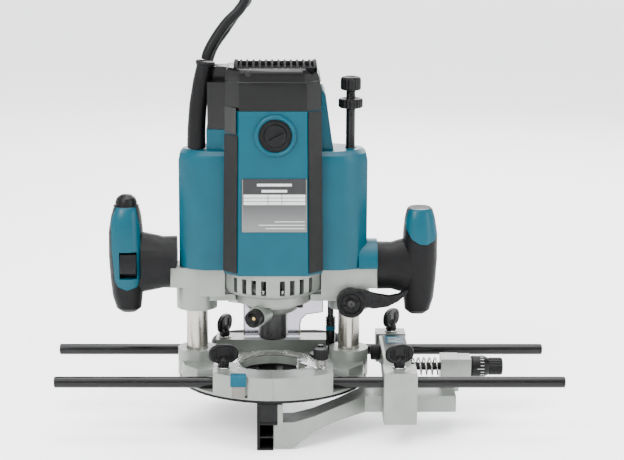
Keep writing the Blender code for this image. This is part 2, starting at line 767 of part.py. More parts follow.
def cover_outline(side):
    """The front view of a handle's blue insert."""
    if side < 0:
        return [(-122, 158), (-139, 158), (-143.8, 146), (-143.5, 122), (-141, 92), (-138, 86),
                (-130, 83), (-121, 86), (-117.8, 96), (-118, 140)]
    return [(119, 158), (117, 148), (118.5, 138), (123, 130), (130, 125.6), (137, 125.2),
            (143.5, 128.5), (147.5, 136), (148.3, 146), (146.5, 158)]


def grown(outline, amount):
    """An outline moved outward from its middle by about this much."""
    middle = [sum(p[i] for p in outline) / len(outline) for i in (0, 1)]
    moved = []
    for x, y in outline:
        out = Vector((x - middle[0], y - middle[1])).normalized() * amount
        moved.append((x + out.x, y + out.y))
    return moved


def grips():
    """Both handles: a rubber grip with its neck, and the blue insert in its front."""
    made = {}
    for side, word in ((-1, "left"), (1, "right")):
        drop = 0.0 if side < 0 else -1.5
        obj = piece(f"{word}_grip", loft(grip_rings(side, drop)), "rubber")
        start = 85.9 if side < 0 else 93.2
        join(obj, neck(side, start, 124))
        if side < 0:
            cut(obj, block((-91.8, -30, 60), (-80, 30, SEAM_Z + GAP)))
        cut(obj, prism(grown(cover_outline(side), 0.5), 7.6, 40, FACING_Y))
        cover = piece(f"{word}_cover", loft(grip_rings(side, drop, 0.6)), "blue")
        window = cover.modifiers.new("insert", "BOOLEAN")
        window.operation = "INTERSECT"
        window.object = tool(prism(cover_outline(side), 8.0, 40, FACING_Y))
        made[word] = (obj, cover)
    grip, cover = made["left"]
    cut(cover, block((-136.5, -40, 93.5), (-121.0, 0, 118.2)))
    cut(grip, block((-136.5, -40, 93.5), (-121.0, 6, 118.2)))
    cut(grip, rod(10.1, 150.5, 170, at=(-HANDLE_X + 0.3, 0, 0), sides=28))
    cut(cover, rod(10.3, 150.5, 170, at=(-HANDLE_X + 0.3, 0, 0), sides=28))


def trigger():
    """The switch trigger in the left grip's window, hinged at its top."""
    place = (-128.75, -7.0, 115.5)
    side = [(-9.5, 0.6), (-4, 1.1), (5, 1.1), (5, -20.5), (-3.5, -21), (-10.5, -16.5), (-12, -8)]
    return piece("trigger", prism(side, -7.3, 7.3, SIDEWAYS), "black_plastic", place)


def lock_off_button():
    """The domed button on top of the left grip."""
    profile = [(0, 168.0), (5.0, 167.2), (8.4, 164.6), (9.8, 160.8), (9.8, 155.0), (0, 155.0)]
    return turned("lock_off_button", profile, "black_plastic", at=(-HANDLE_X + 0.3, 0, 0), steps=28)


def lock_lever():
    """The plunge lock: a round hub with a leaf-shaped arm, turning on a screw in the bracket."""
    place = (LEVER[0], -19.0, LEVER[1])
    obj = piece("lock_lever", rod(12.6, 0.3, 11.0, FACING_Y, sides=36), "black_plastic", place)
    top = [(0, 12.4), (12, 11.2), (22, 8.2), (34, 6.2), (42, 7.8), (49.5, 12.2)]
    under = [(50.6, 10.0), (42, 1.6), (32, -3.4), (20, -5.0), (9, -3.0), (0, -4)]
    join(obj, prism(top[::-1] + under[::-1], 1.6, 8.4, FACING_Y), at=place)
    cut(obj, rod(9.8, 9.0, 20, FACING_Y, sides=32), at=place)
    join(obj, rod(4.4, 3, 11.6, FACING_Y, sides=20), at=place)
    return obj


def stopper_pole():
    place = (*POLE, 0)
    obj = piece("stopper_pole", rod(2.8, 40, 165, sides=16), "black_steel", place)
    join(obj, rod(4.2, POLE_FOOT, 50.5, sides=20), at=place)
    return obj


# ---- motor ---------------------------------------------------------------------------------------


def motor():
    stator = [(26.6, 120), (26.6, 180), (37.8, 180), (37.8, 120)]
    turned("stator", stator, "steel", steps=24, closed=True)
    core = [(8.3, 124), (8.3, 176), (25.6, 176), (25.6, 124)]
    turned("armature_core", core, "copper", steps=20, closed=True)
    shaft = [(0, 262), (6.0, 262), (6.0, 186), (8.0, 184), (8.0, 61), (0, 61)]
    turned("armature_shaft", shaft, "steel", steps=16)
    turned("commutator", [(6.3, 218), (6.3, 238), (16, 238), (16, 218)], "copper", steps=20,
           closed=True)
    turned("lower_bearing", [(8.3, 64.3), (8.3, 76), (16.0, 76), (16.0, 64.3)], "steel", steps=20,
           closed=True)
    turned("upper_bearing", [(6.3, 250), (6.3, 259), (13.0, 259), (13.0, 250)], "steel", steps=20,
           closed=True)
    for name, side in (("brush_front", -1), ("brush_rear", 1)):
        low, high = sorted((side * 16.4, side * 41.5))
        piece(name, block((-4.0, low, BRUSH_Z - 6), (4.0, high, BRUSH_Z + 6)), "black_steel")


def fan():
    """The cooling fan: a disc over nine straight blades."""
    obj = turned("fan", [(8.3, 92), (8.3, 103), (37, 103), (37, 101), (12, 100), (12, 92)],
                 "black_plastic", steps=24, closed=True)
    for k in range(9):
        turn = Matrix.Rotation(2 * math.pi * k / 9, 4, "Z")
        join(obj, block((11, -0.9, 93), (36, 0.9, 102), turn))
    return obj


def collet():
    nut = [(10.4, 36), (10.4, 60.2), (13.2, 60.2), (13.2, 38.0), (12.0, 36)]
    turned("collet_nut", nut, "black_steel", steps=12, closed=True)
    cone = [(6.4, 36.6), (6.35, 60.4), (8.4, 60.4), (9.6, 57), (9.6, 36.6)]
    turned("collet_cone", cone, "steel", steps=18, closed=True)


# ---- edge guide ----------------------------------------------------------------------------------


def guide_rod(name, y, left):
    mesh = rod(ROD_R, left, left + ROD_LENGTH, ALONG_X, sides=24)
    obj = piece(name, mesh, "black_steel", (0, y, ROD_Z))
    round_edges(obj, 0.8, 1)
    return obj


def guide_holder():
    """The casting that clamps on both rods, deep at its front."""
    obj = piece("guide_holder", block((97, -70, -24), (126, -41, 22.5)), "casting")
    bridge = [(-45, 14), (-45, 22), (-36, 27), (36, 27), (45, 24), (45, 2), (30, 2), (20, 12),
              (-20, 2), (-30, 2)]
    join(obj, prism(bridge, 98, 122, SIDEWAYS))
    join(obj, block((95.5, 42, 0), (123, 62, 27)))
    for side in (-1, 1):
        cut(obj, rod(ROD_BORE_R, 80, 140, ALONG_X, (0, side * ROD_Y, ROD_Z), sides=20))
        cut(obj, rod(3.2, ROD_Z + 2, 40, at=(111 - (side > 0), side * ROD_Y, 0), sides=12))
    cut(obj, rod(4.4, 90, 140, ALONG_X, (0, SCREW_Y, SCREW_Z), sides=20))
    cut(obj, rod(2.3, 90, 103, ALONG_X, (0, 12, 18), sides=12))
    return obj


def side_knob():
    place = (0, 12, 18)
    obj = piece("side_knob", rod(6.8, 89.0, 97.6, ALONG_X, sides=26), "black_plastic", place)
    join(obj, rod(2.0, 95, 102, ALONG_X, sides=12), at=place)
    return obj


def fence_facing():
    """The black plastic face that runs along the work: an E-shaped strip."""
    section = [(-14, -1.0), (3.4, -1.0), (3.4, -2.8), (-11.4, -2.8), (-11.4, -18.4), (3.4, -18.4)]
    section += [(3.4, -20.4), (-11.4, -20.4), (-11.4, -30.6), (0.4, -30.6), (0.4, -32.2)]
    section += [(-11.4, -32.2), (-11.4, -41.6), (0.4, -41.6), (0.4, FENCE_BOTTOM)]
    section += [(-14, FENCE_BOTTOM)]
    return piece("fence_facing", prism(section, -82, 82, FACING_Y), "black_plastic")


def fence_casting():
    """The fence's carrier: a wall, an end block, an arm and the upright that takes the screw."""
    obj = piece("fence_casting", block((3.8, -80, -42), (8.5, 80, -2.2)), "casting")
    join(obj, block((0.8, -80, -42), (7, 80, -21.0)))
    foot = [(18, -80, -52, -42, -18.5), (36, -74, -48, -29, -15), (56, -60, -34, -24, -11)]
    foot += [(82, -39, -8, -22.4, -7.5), (163, -39, 10, -22.4, -7.5)]
    rings = [[(x, near, low), (x, far, low), (x, far, high), (x, near, high)]
             for x, near, far, low, high in foot]
    rings.insert(0, [(5, y, z) for _, y, z in rings[0]])
    join(obj, loft(rings))
    join(obj, block((151, -19, -9.5), (167, 3, 20.5)))
    join(obj, block((151.2, -18, 1), (178, 2, 20.2)))
    cut(obj, rod(4.6, 140, 190, ALONG_X, (0, SCREW_Y, SCREW_Z), sides=20))
    return obj


def adjust_dial():
    """The fine adjusting screw with its graduated drum and knurled grip."""
    place = (0, SCREW_Y, SCREW_Z)
    mesh = rod(4.0, 104, 180, ALONG_X, sides=18)
    obj = piece("adjust_dial", mesh, "black_plastic", place)
    join(obj, rod(9.7, 178.4, 190.5, ALONG_X, sides=32), at=place)
    join(obj, rod(9.6, 190.4, 194.5, ALONG_X, sides=32, end_radius=7.4), at=place)
    join(obj, rod(7.9, 194.0, 207.0, ALONG_X, sides=24), at=place)
    return obj


def adjust_spring():
    turns, wire = 4, 0.8
    route = helix(7.6, 123.4, 149.6, turns)
    mesh = tube([(z, SCREW_Y + y, SCREW_Z + x) for x, y, z in route], wire)
    return piece("adjust_spring", mesh, "steel")


# ---- cord ----------------------------------------------------------------------------------------

CORD_KNOTS = (
    (-58.4, -6.0, 288.8), (-56.6, -5.8, 295.4), (-50.2, -4.0, 307.0), (-40.5, 1.5, 320.0),
    (-29.0, 10.0, 331.0), (-23.0, 18.0, 342.0), (-20.0, 31.0, 353.0), (-19.0, 48.0, 356.5),
    (-20.5, 65.0, 348.0), (-23.7, 80.0, 332.1), (-30.2, 84.0, 324.4), (-37.0, 86.0, 314.5),
    (-44.1, 88.0, 303.8), (-56.3, 92.0, 284.8), (-64.0, 95.0, 256.5), (-68.0, 97.0, 225.0),
    (-69.2, 98.5, 200.0), (-70.2, 101.0, 160.0), (-71.2, 104.0, 115.0), (-72.5, 108.0, 70.0),
    (-74.5, 111.0, 30.0), (-77.5, 115.0, 0.0), (-81.5, 123.5, -24.0), (-85.5, 140.0, -37.0),
    (-88.0, 160.0, -38.7), (-86.0, 180.0, -38.7), (-78.2, 197.4, -38.7), (-66.2, 208.0, -38.7),
    (-53.4, 211.0, -38.7),
)


def cord():
    return piece("cord", tube(smooth_route(CORD_KNOTS, 11.0), CORD_R, 2), "rubber")


def cord_hank():
    """The outer shape of the folded cord: long turns, one over another, with round ends."""
    right = arc(HANK_HALF, -90, 90, 13, (HANK_RIGHT - HANK_HALF, HANK_Y))
    left = arc(HANK_HALF, 90, 270, 13, (HANK_LEFT + HANK_HALF, HANK_Y))
    return piece("cord_hank", prism(right + left, FENCE_BOTTOM, FENCE_BOTTOM + HANK_HIGH), "rubber")


def plug():
    """The two-pin mains plug beside the hank, its pins toward the machine."""
    x, z = 68.5, -24.9
    rings = []
    for y, radius in ((160.5, 5.2), (150, 6.6), (147, 10), (142, 16.5), (128, 18.2), (106, 18.2)):
        rings.append([(px, -y, pz) for px, pz, _ in ellipse(x, z, radius, radius, 0, 24)])
    rings = [[(px, -py, pz) for px, py, pz in ring] for ring in rings]
    obj = piece("plug", loft(rings), "rubber")
    for side in (-1, 1):
        join(obj, rod(2.4, 87, 108, ALONG_Y, (x + side * 9.5, 0, z), sides=12))
    return obj


def build():
    base_casting()
    sole_plate()
    column("column_left", -1)
    column("column_right", 1)
    plunge_spring("plunge_spring_left", -1)
    plunge_spring("plunge_spring_right", 1)
    stop_screw()
    stop_nut()
    turret_block()
    wing_screw("base_wing_front", -43.5, -ROD_Y, ROD_Z + ROD_R + GAP, FRONT_BOSS_TOP, 8)
    wing_screw("base_wing_rear", -45.0, ROD_Y, ROD_Z + ROD_R + GAP, REAR_BOSS_TOP, 68)
    clear_ring()
    nozzle_knob()
    chip_deflector()
    template_lock()
    motor_bracket()
    motor_housing()
    corner_strip("strip_left", -1, CORNER_CUT_Z - 0.6)
    corner_strip("strip_right", 1, BARREL_TOP - 0.6)
    top_cap()
    air_grille()
    brush_cap("brush_cap_front", -1)
    brush_cap("brush_cap_rear", 1)
    rating_plate()
    speed_dial()
    work_lamp()
    cord_guard()
    grips()
    trigger()
    lock_off_button()
    lock_lever()
    shaft_lock_button()
    stopper_pole()
    motor()
    fan()
    collet()
    guide_rod("rod_front", -ROD_Y, -192.8)
    guide_rod("rod_rear", ROD_Y, -199.0)
    guide_holder()
    wing_screw("holder_wing_front", 111.0, -ROD_Y, ROD_Z + ROD_R + GAP, 22.5, 20)
    wing_screw("holder_wing_rear", 110.0, ROD_Y, ROD_Z + ROD_R + GAP, 27.0, 60)
    side_knob()
    fence_casting()
    fence_facing()
    adjust_dial()
    adjust_spring()
    cord()
    cord_hank()
    plug()


build()
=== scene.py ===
"""The looks of the plunge router: every CAD node gets its material and soft edges, and finer pieces
stand for or sit on the plain ones. Sizes are millimetres, which helpers scale to metres; the
camera and the lights are placed in metres."""

import math

import bmesh
import bpy
from mathutils import Matrix, Vector


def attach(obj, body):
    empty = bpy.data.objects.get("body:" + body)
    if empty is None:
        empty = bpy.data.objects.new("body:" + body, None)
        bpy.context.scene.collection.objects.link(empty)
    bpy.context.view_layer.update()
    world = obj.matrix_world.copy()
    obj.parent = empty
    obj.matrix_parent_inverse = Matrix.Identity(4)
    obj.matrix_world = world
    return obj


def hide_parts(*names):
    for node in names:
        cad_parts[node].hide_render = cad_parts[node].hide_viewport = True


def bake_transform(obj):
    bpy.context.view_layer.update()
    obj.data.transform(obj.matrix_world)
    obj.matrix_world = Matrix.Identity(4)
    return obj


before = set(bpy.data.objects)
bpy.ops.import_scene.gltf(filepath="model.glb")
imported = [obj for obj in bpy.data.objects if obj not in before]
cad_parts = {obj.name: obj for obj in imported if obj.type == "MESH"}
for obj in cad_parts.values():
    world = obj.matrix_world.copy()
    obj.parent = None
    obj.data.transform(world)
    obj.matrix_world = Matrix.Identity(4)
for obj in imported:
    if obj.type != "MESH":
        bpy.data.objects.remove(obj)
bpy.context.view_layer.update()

MM = 0.001
FLOOR_Z = -43.3
UP = Matrix.Identity(4)
ALONG_X = Matrix.Rotation(math.radians(90), 4, "Y")
ALONG_Y = Matrix.Rotation(math.radians(-90), 4, "X")
FACING_Y = Matrix.Rotation(math.radians(90), 4, "X")
SIDES = ((-1, "left"), (1, "right"))

# ---- camera, floor and light ---------------------------------------------------------------------

CAMERA_PITCH = 12.6
CAMERA_PLACE = (0.0, -1.640, 0.5017)
SENSOR_WIDTH = 36.0
LENS = 108.58
SHIFT_X = 0.0625
LIGHTS = (  # name, place, aim, size and power
    ("key", (-0.9, -1.2, 1.2), (0, 0, 0.12), (0.8, 0.8), 46),
    ("fill", (1.3, -1.0, 0.6), (0, 0, 0.12), (0.6, 1.1), 17),
    ("above", (0.1, 0.2, 1.5), (0, 0, 0.1), (1.1, 1.1), 34),
    ("behind", (0.4, 1.4, 0.9), (0, 0, 0.15), (1.4, 0.9), 20),
)
SKY_POWER = 3.4
SKY_WIDTH = 60
SKY_TILT = (18, -12)
WORLD_COLOUR = (0.93, 0.95, 0.97, 1)
WORLD_STRENGTH = 0.5
FLOOR_GAP = 0.2
FLOOR_PROFILE = (  # a flat floor whose far edge curves up into the backdrop
    (1, 0), (5000, 0), (5600, 150), (6100, 550), (6400, 1100), (6500, 1800), (6500, 4500),
)


def add_camera():
    data = bpy.data.cameras.new("camera")
    data.sensor_width = SENSOR_WIDTH
    data.lens = LENS
    data.shift_x = SHIFT_X
    camera = bpy.data.objects.new("camera", data)
    camera.location = CAMERA_PLACE
    camera.rotation_euler = (math.radians(90 - CAMERA_PITCH), 0, 0)
    bpy.context.scene.collection.objects.link(camera)
    bpy.context.scene.camera = camera


def add_light(name, place, aim, size, power):
    data = bpy.data.lights.new(name, "AREA")
    data.shape = "RECTANGLE"
    data.size, data.size_y = size
    data.energy = power
    light = bpy.data.objects.new(name, data)
    light.location = place
    light.rotation_euler = (Vector(aim) - Vector(place)).to_track_quat("-Z", "Y").to_euler()
    bpy.context.scene.collection.objects.link(light)


def add_sky():
    """A wide sun for even light from above."""
    data = bpy.data.lights.new("sky", "SUN")
    data.energy = SKY_POWER
    data.angle = math.radians(SKY_WIDTH)
    light = bpy.data.objects.new("sky", data)
    light.rotation_euler = (math.radians(SKY_TILT[0]), math.radians(SKY_TILT[1]), 0)
    bpy.context.scene.collection.objects.link(light)


def add_world():
    world = bpy.data.worlds.new("studio")
    world.use_nodes = True
    background = world.node_tree.nodes["Background"]
    background.inputs["Color"].default_value = WORLD_COLOUR
    background.inputs["Strength"].default_value = WORLD_STRENGTH
    bpy.context.scene.world = world


def add_floor():
    floor = turned("floor", None, paper_white(), FLOOR_PROFILE, (0, 0, FLOOR_Z - FLOOR_GAP),
                   count=72, ends=False)


def add_studio():
    for name, place, aim, size, power in LIGHTS:
        add_light(name, place, aim, size, power)
    add_sky()
    add_world()
    add_floor()


# ---- materials -----------------------------------------------------------------------------------


class Look:
    """A Principled material with helpers for the noise that gives it life."""

    def __init__(self, name, colour, roughness, metallic=0.0, **extra):
        self.material = bpy.data.materials.new(name)
        self.material.use_nodes = True
        self.nodes = self.material.node_tree.nodes
        self.links = self.material.node_tree.links
        self.shader = self.nodes["Principled BSDF"]
        self.shader.inputs["Base Color"].default_value = (*colour, 1)
        self.shader.inputs["Roughness"].default_value = roughness
        self.shader.inputs["Metallic"].default_value = metallic
        for socket, value in extra.items():
            self.shader.inputs[socket.replace("_", " ")].default_value = value
        self.colour = colour
        self.roughness = roughness
        self.bump = None
        self.place = self.nodes.new("ShaderNodeTexCoord").outputs["Object"]

    def noise(self, scale, detail=3.0, stretch=(1, 1, 1), rough=0.55):
        mapping = self.nodes.new("ShaderNodeMapping")
        mapping.inputs["Scale"].default_value = stretch
        self.links.new(self.place, mapping.inputs["Vector"])
        texture = self.nodes.new("ShaderNodeTexNoise")
        texture.inputs["Scale"].default_value = scale
        texture.inputs["Detail"].default_value = detail
        texture.inputs["Roughness"].default_value = rough
        self.links.new(mapping.outputs["Vector"], texture.inputs["Vector"])
        return texture.outputs["Fac"]

    def ramp(self, value, low, high, from_low=0.3, from_high=0.7):
        """Maps a noise value to numbers between low and high."""
        node = self.nodes.new("ShaderNodeMapRange")
        node.inputs["From Min"].default_value = from_low
        node.inputs["From Max"].default_value = from_high
        node.inputs["To Min"].default_value = low
        node.inputs["To Max"].default_value = high
        self.links.new(value, node.inputs["Value"])
        return node.outputs["Result"]

    def tint(self, value, darker, lighter):
        """Colour that wanders between two shades of the base colour."""
        node = self.nodes.new("ShaderNodeMix")
        node.data_type = "RGBA"
        node.inputs["A"].default_value = (*[c * darker for c in self.colour], 1)
        node.inputs["B"].default_value = (*[min(c * lighter, 1) for c in self.colour], 1)
        self.links.new(self.ramp(value, 0, 1), node.inputs["Factor"])
        self.links.new(node.outputs["Result"], self.shader.inputs["Base Color"])
        return self

    def vary_roughness(self, value, amount):
        result = self.ramp(value, self.roughness - amount, self.roughness + amount)
        self.links.new(result, self.shader.inputs["Roughness"])
        return self

    def relief(self, value, depth_mm, strength=1.0):
        node = self.nodes.new("ShaderNodeBump")
        node.inputs["Distance"].default_value = depth_mm * MM
        node.inputs["Strength"].default_value = strength
        self.links.new(value, node.inputs["Height"])
        if self.bump:
            self.links.new(self.bump, node.inputs["Normal"])
        self.bump = node.outputs["Normal"]
        self.links.new(self.bump, self.shader.inputs["Normal"])
        return self


MADE = {}
PLATE_LOW, PLATE_HIGH = 143.6, 190.5  # between these heights the plate's print fades


def look(maker):
    """Each material is made once, the first time a piece needs it."""

    def get():
        if maker.__name__ not in MADE:
            MADE[maker.__name__] = maker().material
        return MADE[maker.__name__]

    return get


@look
def paper_white():
    """The floor's paper, with a faint glow of its own so that it stays pale in every view."""
    made = Look("paper_white", (0.95, 0.955, 0.96), 0.8, 0.0, Emission_Color=(1, 1, 1, 1),
                Emission_Strength=0.42)
    return made.relief(made.noise(90, 2), 0.02, 0.2)


@look
def cast_silver():
    made = Look("cast_silver", (0.172, 0.186, 0.168), 0.36, 0.5)
    made.tint(made.noise(55, 4), 0.9, 1.07)
    made.vary_roughness(made.noise(140, 3), 0.07)
    made.relief(made.noise(900, 2), 0.05, 0.45)
    return made.relief(made.noise(160, 3), 0.06, 0.25)


@look
def blue_plastic():
    made = Look("blue_plastic", (0.0, 0.042, 0.063), 0.34, 0.0, Specular_IOR_Level=0.16)
    made.tint(made.noise(40, 3), 0.93, 1.07)
    made.vary_roughness(made.noise(220, 2), 0.05)
    return made.relief(made.noise(1500, 2), 0.03, 0.35)


@look
def gloss_black():
    made = Look("gloss_black", (0.002, 0.002, 0.002), 0.2, 0.0, Specular_IOR_Level=0.24)
    made.vary_roughness(made.noise(60, 3), 0.03)
    return made.relief(made.noise(120, 2), 0.01, 0.25)


@look
def black_plastic():
    made = Look("black_plastic", (0.0022, 0.0022, 0.0025), 0.38, 0.0, Specular_IOR_Level=0.14)
    made.tint(made.noise(150, 3), 0.8, 1.3)
    made.vary_roughness(made.noise(260, 2), 0.06)
    return made.relief(made.noise(1300, 3), 0.05, 0.5)


@look
def matt_plastic():
    """The top grille's plastic, too rough to mirror the sky; also the sheet of painted shade under
    the grille.
    """
    made = Look("matt_plastic", (0.0025, 0.0025, 0.003), 0.6, 0.0, Specular_IOR_Level=0.03)
    made.tint(made.noise(150, 3), 0.8, 1.3)
    return made.relief(made.noise(1300, 3), 0.05, 0.4)


@look
def soft_rubber():
    made = Look("soft_rubber", (0.002, 0.002, 0.0023), 0.48, 0.0, Specular_IOR_Level=0.13)
    made.tint(made.noise(90, 3), 0.8, 1.25)
    made.vary_roughness(made.noise(200, 2), 0.07)
    return made.relief(made.noise(700, 3), 0.07, 0.5)


@look
def strip_rubber():
    made = Look("strip_rubber", (0.005, 0.005, 0.005), 0.5, 0.0, Specular_IOR_Level=0.14)
    made.tint(made.noise(120, 3), 0.85, 1.2)
    return made.relief(made.noise(900, 3), 0.06, 0.5)


@look
def ground_steel():
    made = Look("ground_steel", (0.36, 0.34, 0.305), 0.24, 1.0, Anisotropic=0.4)
    streaks = made.noise(150, 3, (1, 1, 0.03))
    made.tint(streaks, 0.9, 1.07)
    made.vary_roughness(streaks, 0.06)
    return made.relief(made.noise(300, 2, (1, 1, 0.02)), 0.006, 0.4)


@look
def bright_steel():
    made = Look("bright_steel", (0.36, 0.36, 0.345), 0.25, 1.0)
    made.tint(made.noise(200, 3), 0.9, 1.08)
    return made.vary_roughness(made.noise(120, 3), 0.07)


@look
def black_steel():
    made = Look("black_steel", (0.003, 0.003, 0.003), 0.16, 0.0, Specular_IOR_Level=0.22)
    made.tint(made.noise(70, 3, (0.2, 1, 1)), 0.85, 1.35)
    made.vary_roughness(made.noise(180, 3, (0.15, 1, 1)), 0.05)
    return made.relief(made.noise(260, 2, (0.1, 1, 1)), 0.01, 0.3)


@look
def dark_steel():
    made = Look("dark_steel", (0.015, 0.015, 0.015), 0.33, 0.6)
    made.tint(made.noise(120, 3), 0.8, 1.3)
    return made.vary_roughness(made.noise(240, 3), 0.08)


@look
def brassy_steel():
    made = Look("brassy_steel", (0.30, 0.235, 0.14), 0.3, 1.0)
    made.tint(made.noise(200, 3), 0.8, 1.1)
    return made.vary_roughness(made.noise(260, 3), 0.08)


@look
def copper():
    made = Look("copper", (0.62, 0.27, 0.15), 0.34, 1.0)
    made.tint(made.noise(200, 3), 0.85, 1.1)
    return made.vary_roughness(made.noise(240, 3), 0.07)


@look
def clear_plastic():
    made = Look("clear_plastic", (0.86, 0.87, 0.83), 0.05, 0.0, IOR=1.42, Transmission_Weight=0.94)
    made.vary_roughness(made.noise(90, 3), 0.02)
    return made.relief(made.noise(30, 1), 0.01, 0.1)


@look
def smoke_plastic():
    """The deflector's plastic: clear with a faint lilac grey."""
    made = Look("smoke_plastic", (0.36, 0.352, 0.40), 0.08, 0.0, IOR=1.35, Transmission_Weight=0.9)
    made.vary_roughness(made.noise(80, 3), 0.03)
    return made.relief(made.noise(30, 1), 0.01, 0.1)


@look
def amber_edge():
    """The deflector's cut edges, where its plastic gathers a faint yellow."""
    made = Look("amber_edge", (0.30, 0.28, 0.13), 0.15, 0.0, IOR=1.35, Transmission_Weight=0.4)
    return made.vary_roughness(made.noise(80, 3), 0.04)


@look
def plate_print():
    """The plate's print: a dark band at the top that fades to silver."""
    made = Look("plate_print", (0.45, 0.46, 0.46), 0.36, 0.35)
    split = made.nodes.new("ShaderNodeSeparateXYZ")
    made.links.new(made.place, split.inputs["Vector"])
    fade = made.nodes.new("ShaderNodeValToRGB")
    fade.color_ramp.elements[0].position = 0.1
    fade.color_ramp.elements[0].color = (0.105, 0.108, 0.108, 1)
    fade.color_ramp.elements[1].position = 0.75
    fade.color_ramp.elements[1].color = (0.009, 0.009, 0.010, 1)
    height = made.ramp(split.outputs["Z"], 0, 1, PLATE_LOW * MM, PLATE_HIGH * MM)
    made.links.new(height, fade.inputs["Fac"])
    made.links.new(fade.outputs["Color"], made.shader.inputs["Base Color"])
    return made.vary_roughness(made.noise(160, 3), 0.05)


@look
def dull_steel():
    made = Look("dull_steel", (0.12, 0.112, 0.098), 0.42, 0.4)
    made.tint(made.noise(120, 3, (1, 1, 0.1)), 0.9, 1.1)
    return made.vary_roughness(made.noise(240, 3), 0.05)


@look
def label_white():
    made = Look("label_white", (0.42, 0.43, 0.43), 0.5)
    return made.tint(made.noise(300, 2), 0.92, 1.05)


@look
def label_blue():
    made = Look("label_blue", (0.0, 0.048, 0.078), 0.4, 0.0, Specular_IOR_Level=0.15)
    return made.tint(made.noise(200, 2), 0.92, 1.08)


# black for the cap screw's head, and painted shade for the cross recesses of the screws
@look
def black_and_recess_shade():
    made = Look("black_and_recess_shade", (0.006, 0.006, 0.007), 0.5, 0.0, Specular_IOR_Level=0.15)
    return made.tint(made.noise(300, 2), 0.8, 1.3)


@look
def brass():
    made = Look("brass", (0.36, 0.26, 0.09), 0.25, 1.0)
    return made.vary_roughness(made.noise(240, 3), 0.06)


# ---- CAD nodes: materials and soft edges ---------------------------------------------------------


FLAT_ANGLE = 1.2
EDGE_ANGLE = 32


def round_edges(obj, width_mm):
    bevel = obj.modifiers.new("edges", "BEVEL")
    bevel.width = width_mm * MM
    bevel.segments = 2
    bevel.limit_method = "ANGLE"
    bevel.angle_limit = math.radians(EDGE_ANGLE)
    bevel.harden_normals = True


def smooth_faces(obj):
    for polygon in obj.data.polygons:
        polygon.use_smooth = True


def dress(node, material, width_mm):
    """Gives a node its material, cleans its facets, rounds its edges and shades it smoothly."""
    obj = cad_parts[node]
    obj.data.materials.clear()
    obj.data.materials.append(material)
    smooth_faces(obj)
    weld = obj.modifiers.new("weld", "WELD")
    weld.merge_threshold = 0.02 * MM
    tidy = obj.modifiers.new("tidy", "DECIMATE")
    tidy.decimate_type = "DISSOLVE"
    tidy.angle_limit = math.radians(FLAT_ANGLE)
    round_edges(obj, width_mm)
    obj.modifiers.new("normals", "WEIGHTED_NORMAL").keep_sharp = True


def dress_all():
    """Dresses every node that no finer piece stands for, with the width of its rounded edges."""
    looks = {
        cast_silver: (("base_casting", 0.9), ("motor_bracket", 0.7), ("guide_holder", 1.1),
                      ("fence_casting", 0.9)),
        blue_plastic: (("motor_housing", 2.2), ("left_cover", 0.7), ("right_cover", 0.7)),
        gloss_black: (("top_cap", 1.6),),
        black_plastic: (("sole_plate", 0.4), ("fence_facing", 0.35), ("trigger", 0.8),
                        ("work_lamp", 0.4), ("fan", 0.3), ("turret_block", 0.5),
                        ("lock_off_button", 0.5), ("brush_cap_front", 0.5),
                        ("brush_cap_rear", 0.5), ("lock_lever", 0.8),
                        ("shaft_lock_button", 0.6)),
        soft_rubber: (("left_grip", 0.9), ("right_grip", 0.9), ("cord_guard", 0.4)),
        strip_rubber: (("strip_left", 0.3), ("strip_right", 0.3)),
        ground_steel: (("column_left", 0.3), ("column_right", 0.3)),
        bright_steel: (("armature_shaft", 0.4), ("stator", 0.4), ("upper_bearing", 0.4),
                       ("lower_bearing", 0.4), ("collet_cone", 0.3)),
        copper: (("armature_core", 0.4), ("commutator", 0.3)),
        black_steel: (("stopper_pole", 0.3),),
        dark_steel: (("collet_nut", 0.6), ("brush_front", 0.3), ("brush_rear", 0.3)),
        clear_plastic: (("clear_ring", 0.5),),
        smoke_plastic: (("chip_deflector", 0.5),),
        plate_print: (("rating_plate", 0.15),),
        label_blue: (("template_lock", 0.5),),
    }
    for material, nodes in looks.items():
        for node, width in nodes:
            dress(node, material(), width)


# ---- shapes --------------------------------------------------------------------------------------


def emit(bm, name, body, material, place=(0, 0, 0), turn=UP, smooth=True, edges_mm=0.0):
    """A new piece from a bmesh drawn in millimetres, riding on a body."""
    bmesh.ops.transform(bm, matrix=turn, verts=bm.verts)
    bmesh.ops.translate(bm, vec=Vector(place), verts=bm.verts)
    bmesh.ops.scale(bm, vec=(MM, MM, MM), verts=bm.verts)
    bmesh.ops.recalc_face_normals(bm, faces=bm.faces)
    mesh = bpy.data.meshes.new(name)
    bm.to_mesh(mesh)
    bm.free()
    obj = bpy.data.objects.new(name, mesh)
    bpy.context.scene.collection.objects.link(obj)
    obj.data.materials.append(material)
    if smooth:
        smooth_faces(obj)
    if edges_mm:
        round_edges(obj, edges_mm)
    obj.modifiers.new("normals", "WEIGHTED_NORMAL").keep_sharp = True
    if body:
        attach(obj, body)
    return obj


def add_loft(bm, rings, ends=True, loop=False):
    """Skins rings of equally many points; a loop runs back to its first ring and has no ends."""
    rows = [[bm.verts.new(point) for point in ring] for ring in rings]
    if loop:
        rows.append(rows[0])
    for low, high in zip(rows, rows[1:]):
        for i in range(len(low)):
            j = (i + 1) % len(low)
            bm.faces.new((low[i], low[j], high[j], high[i]))
    if ends and not loop:
        bm.faces.new(list(reversed(rows[0])))
        bm.faces.new(rows[-1])


def add_block(bm, low, high, turn=UP):
    size = [b - a for a, b in zip(low, high)]
    middle = [(a + b) / 2 for a, b in zip(low, high)]
    made = bmesh.ops.create_cube(bm, size=1.0)["verts"]
    bmesh.ops.scale(bm, vec=size, verts=made)
    bmesh.ops.translate(bm, vec=middle, verts=made)
    bmesh.ops.transform(bm, matrix=turn, verts=made)


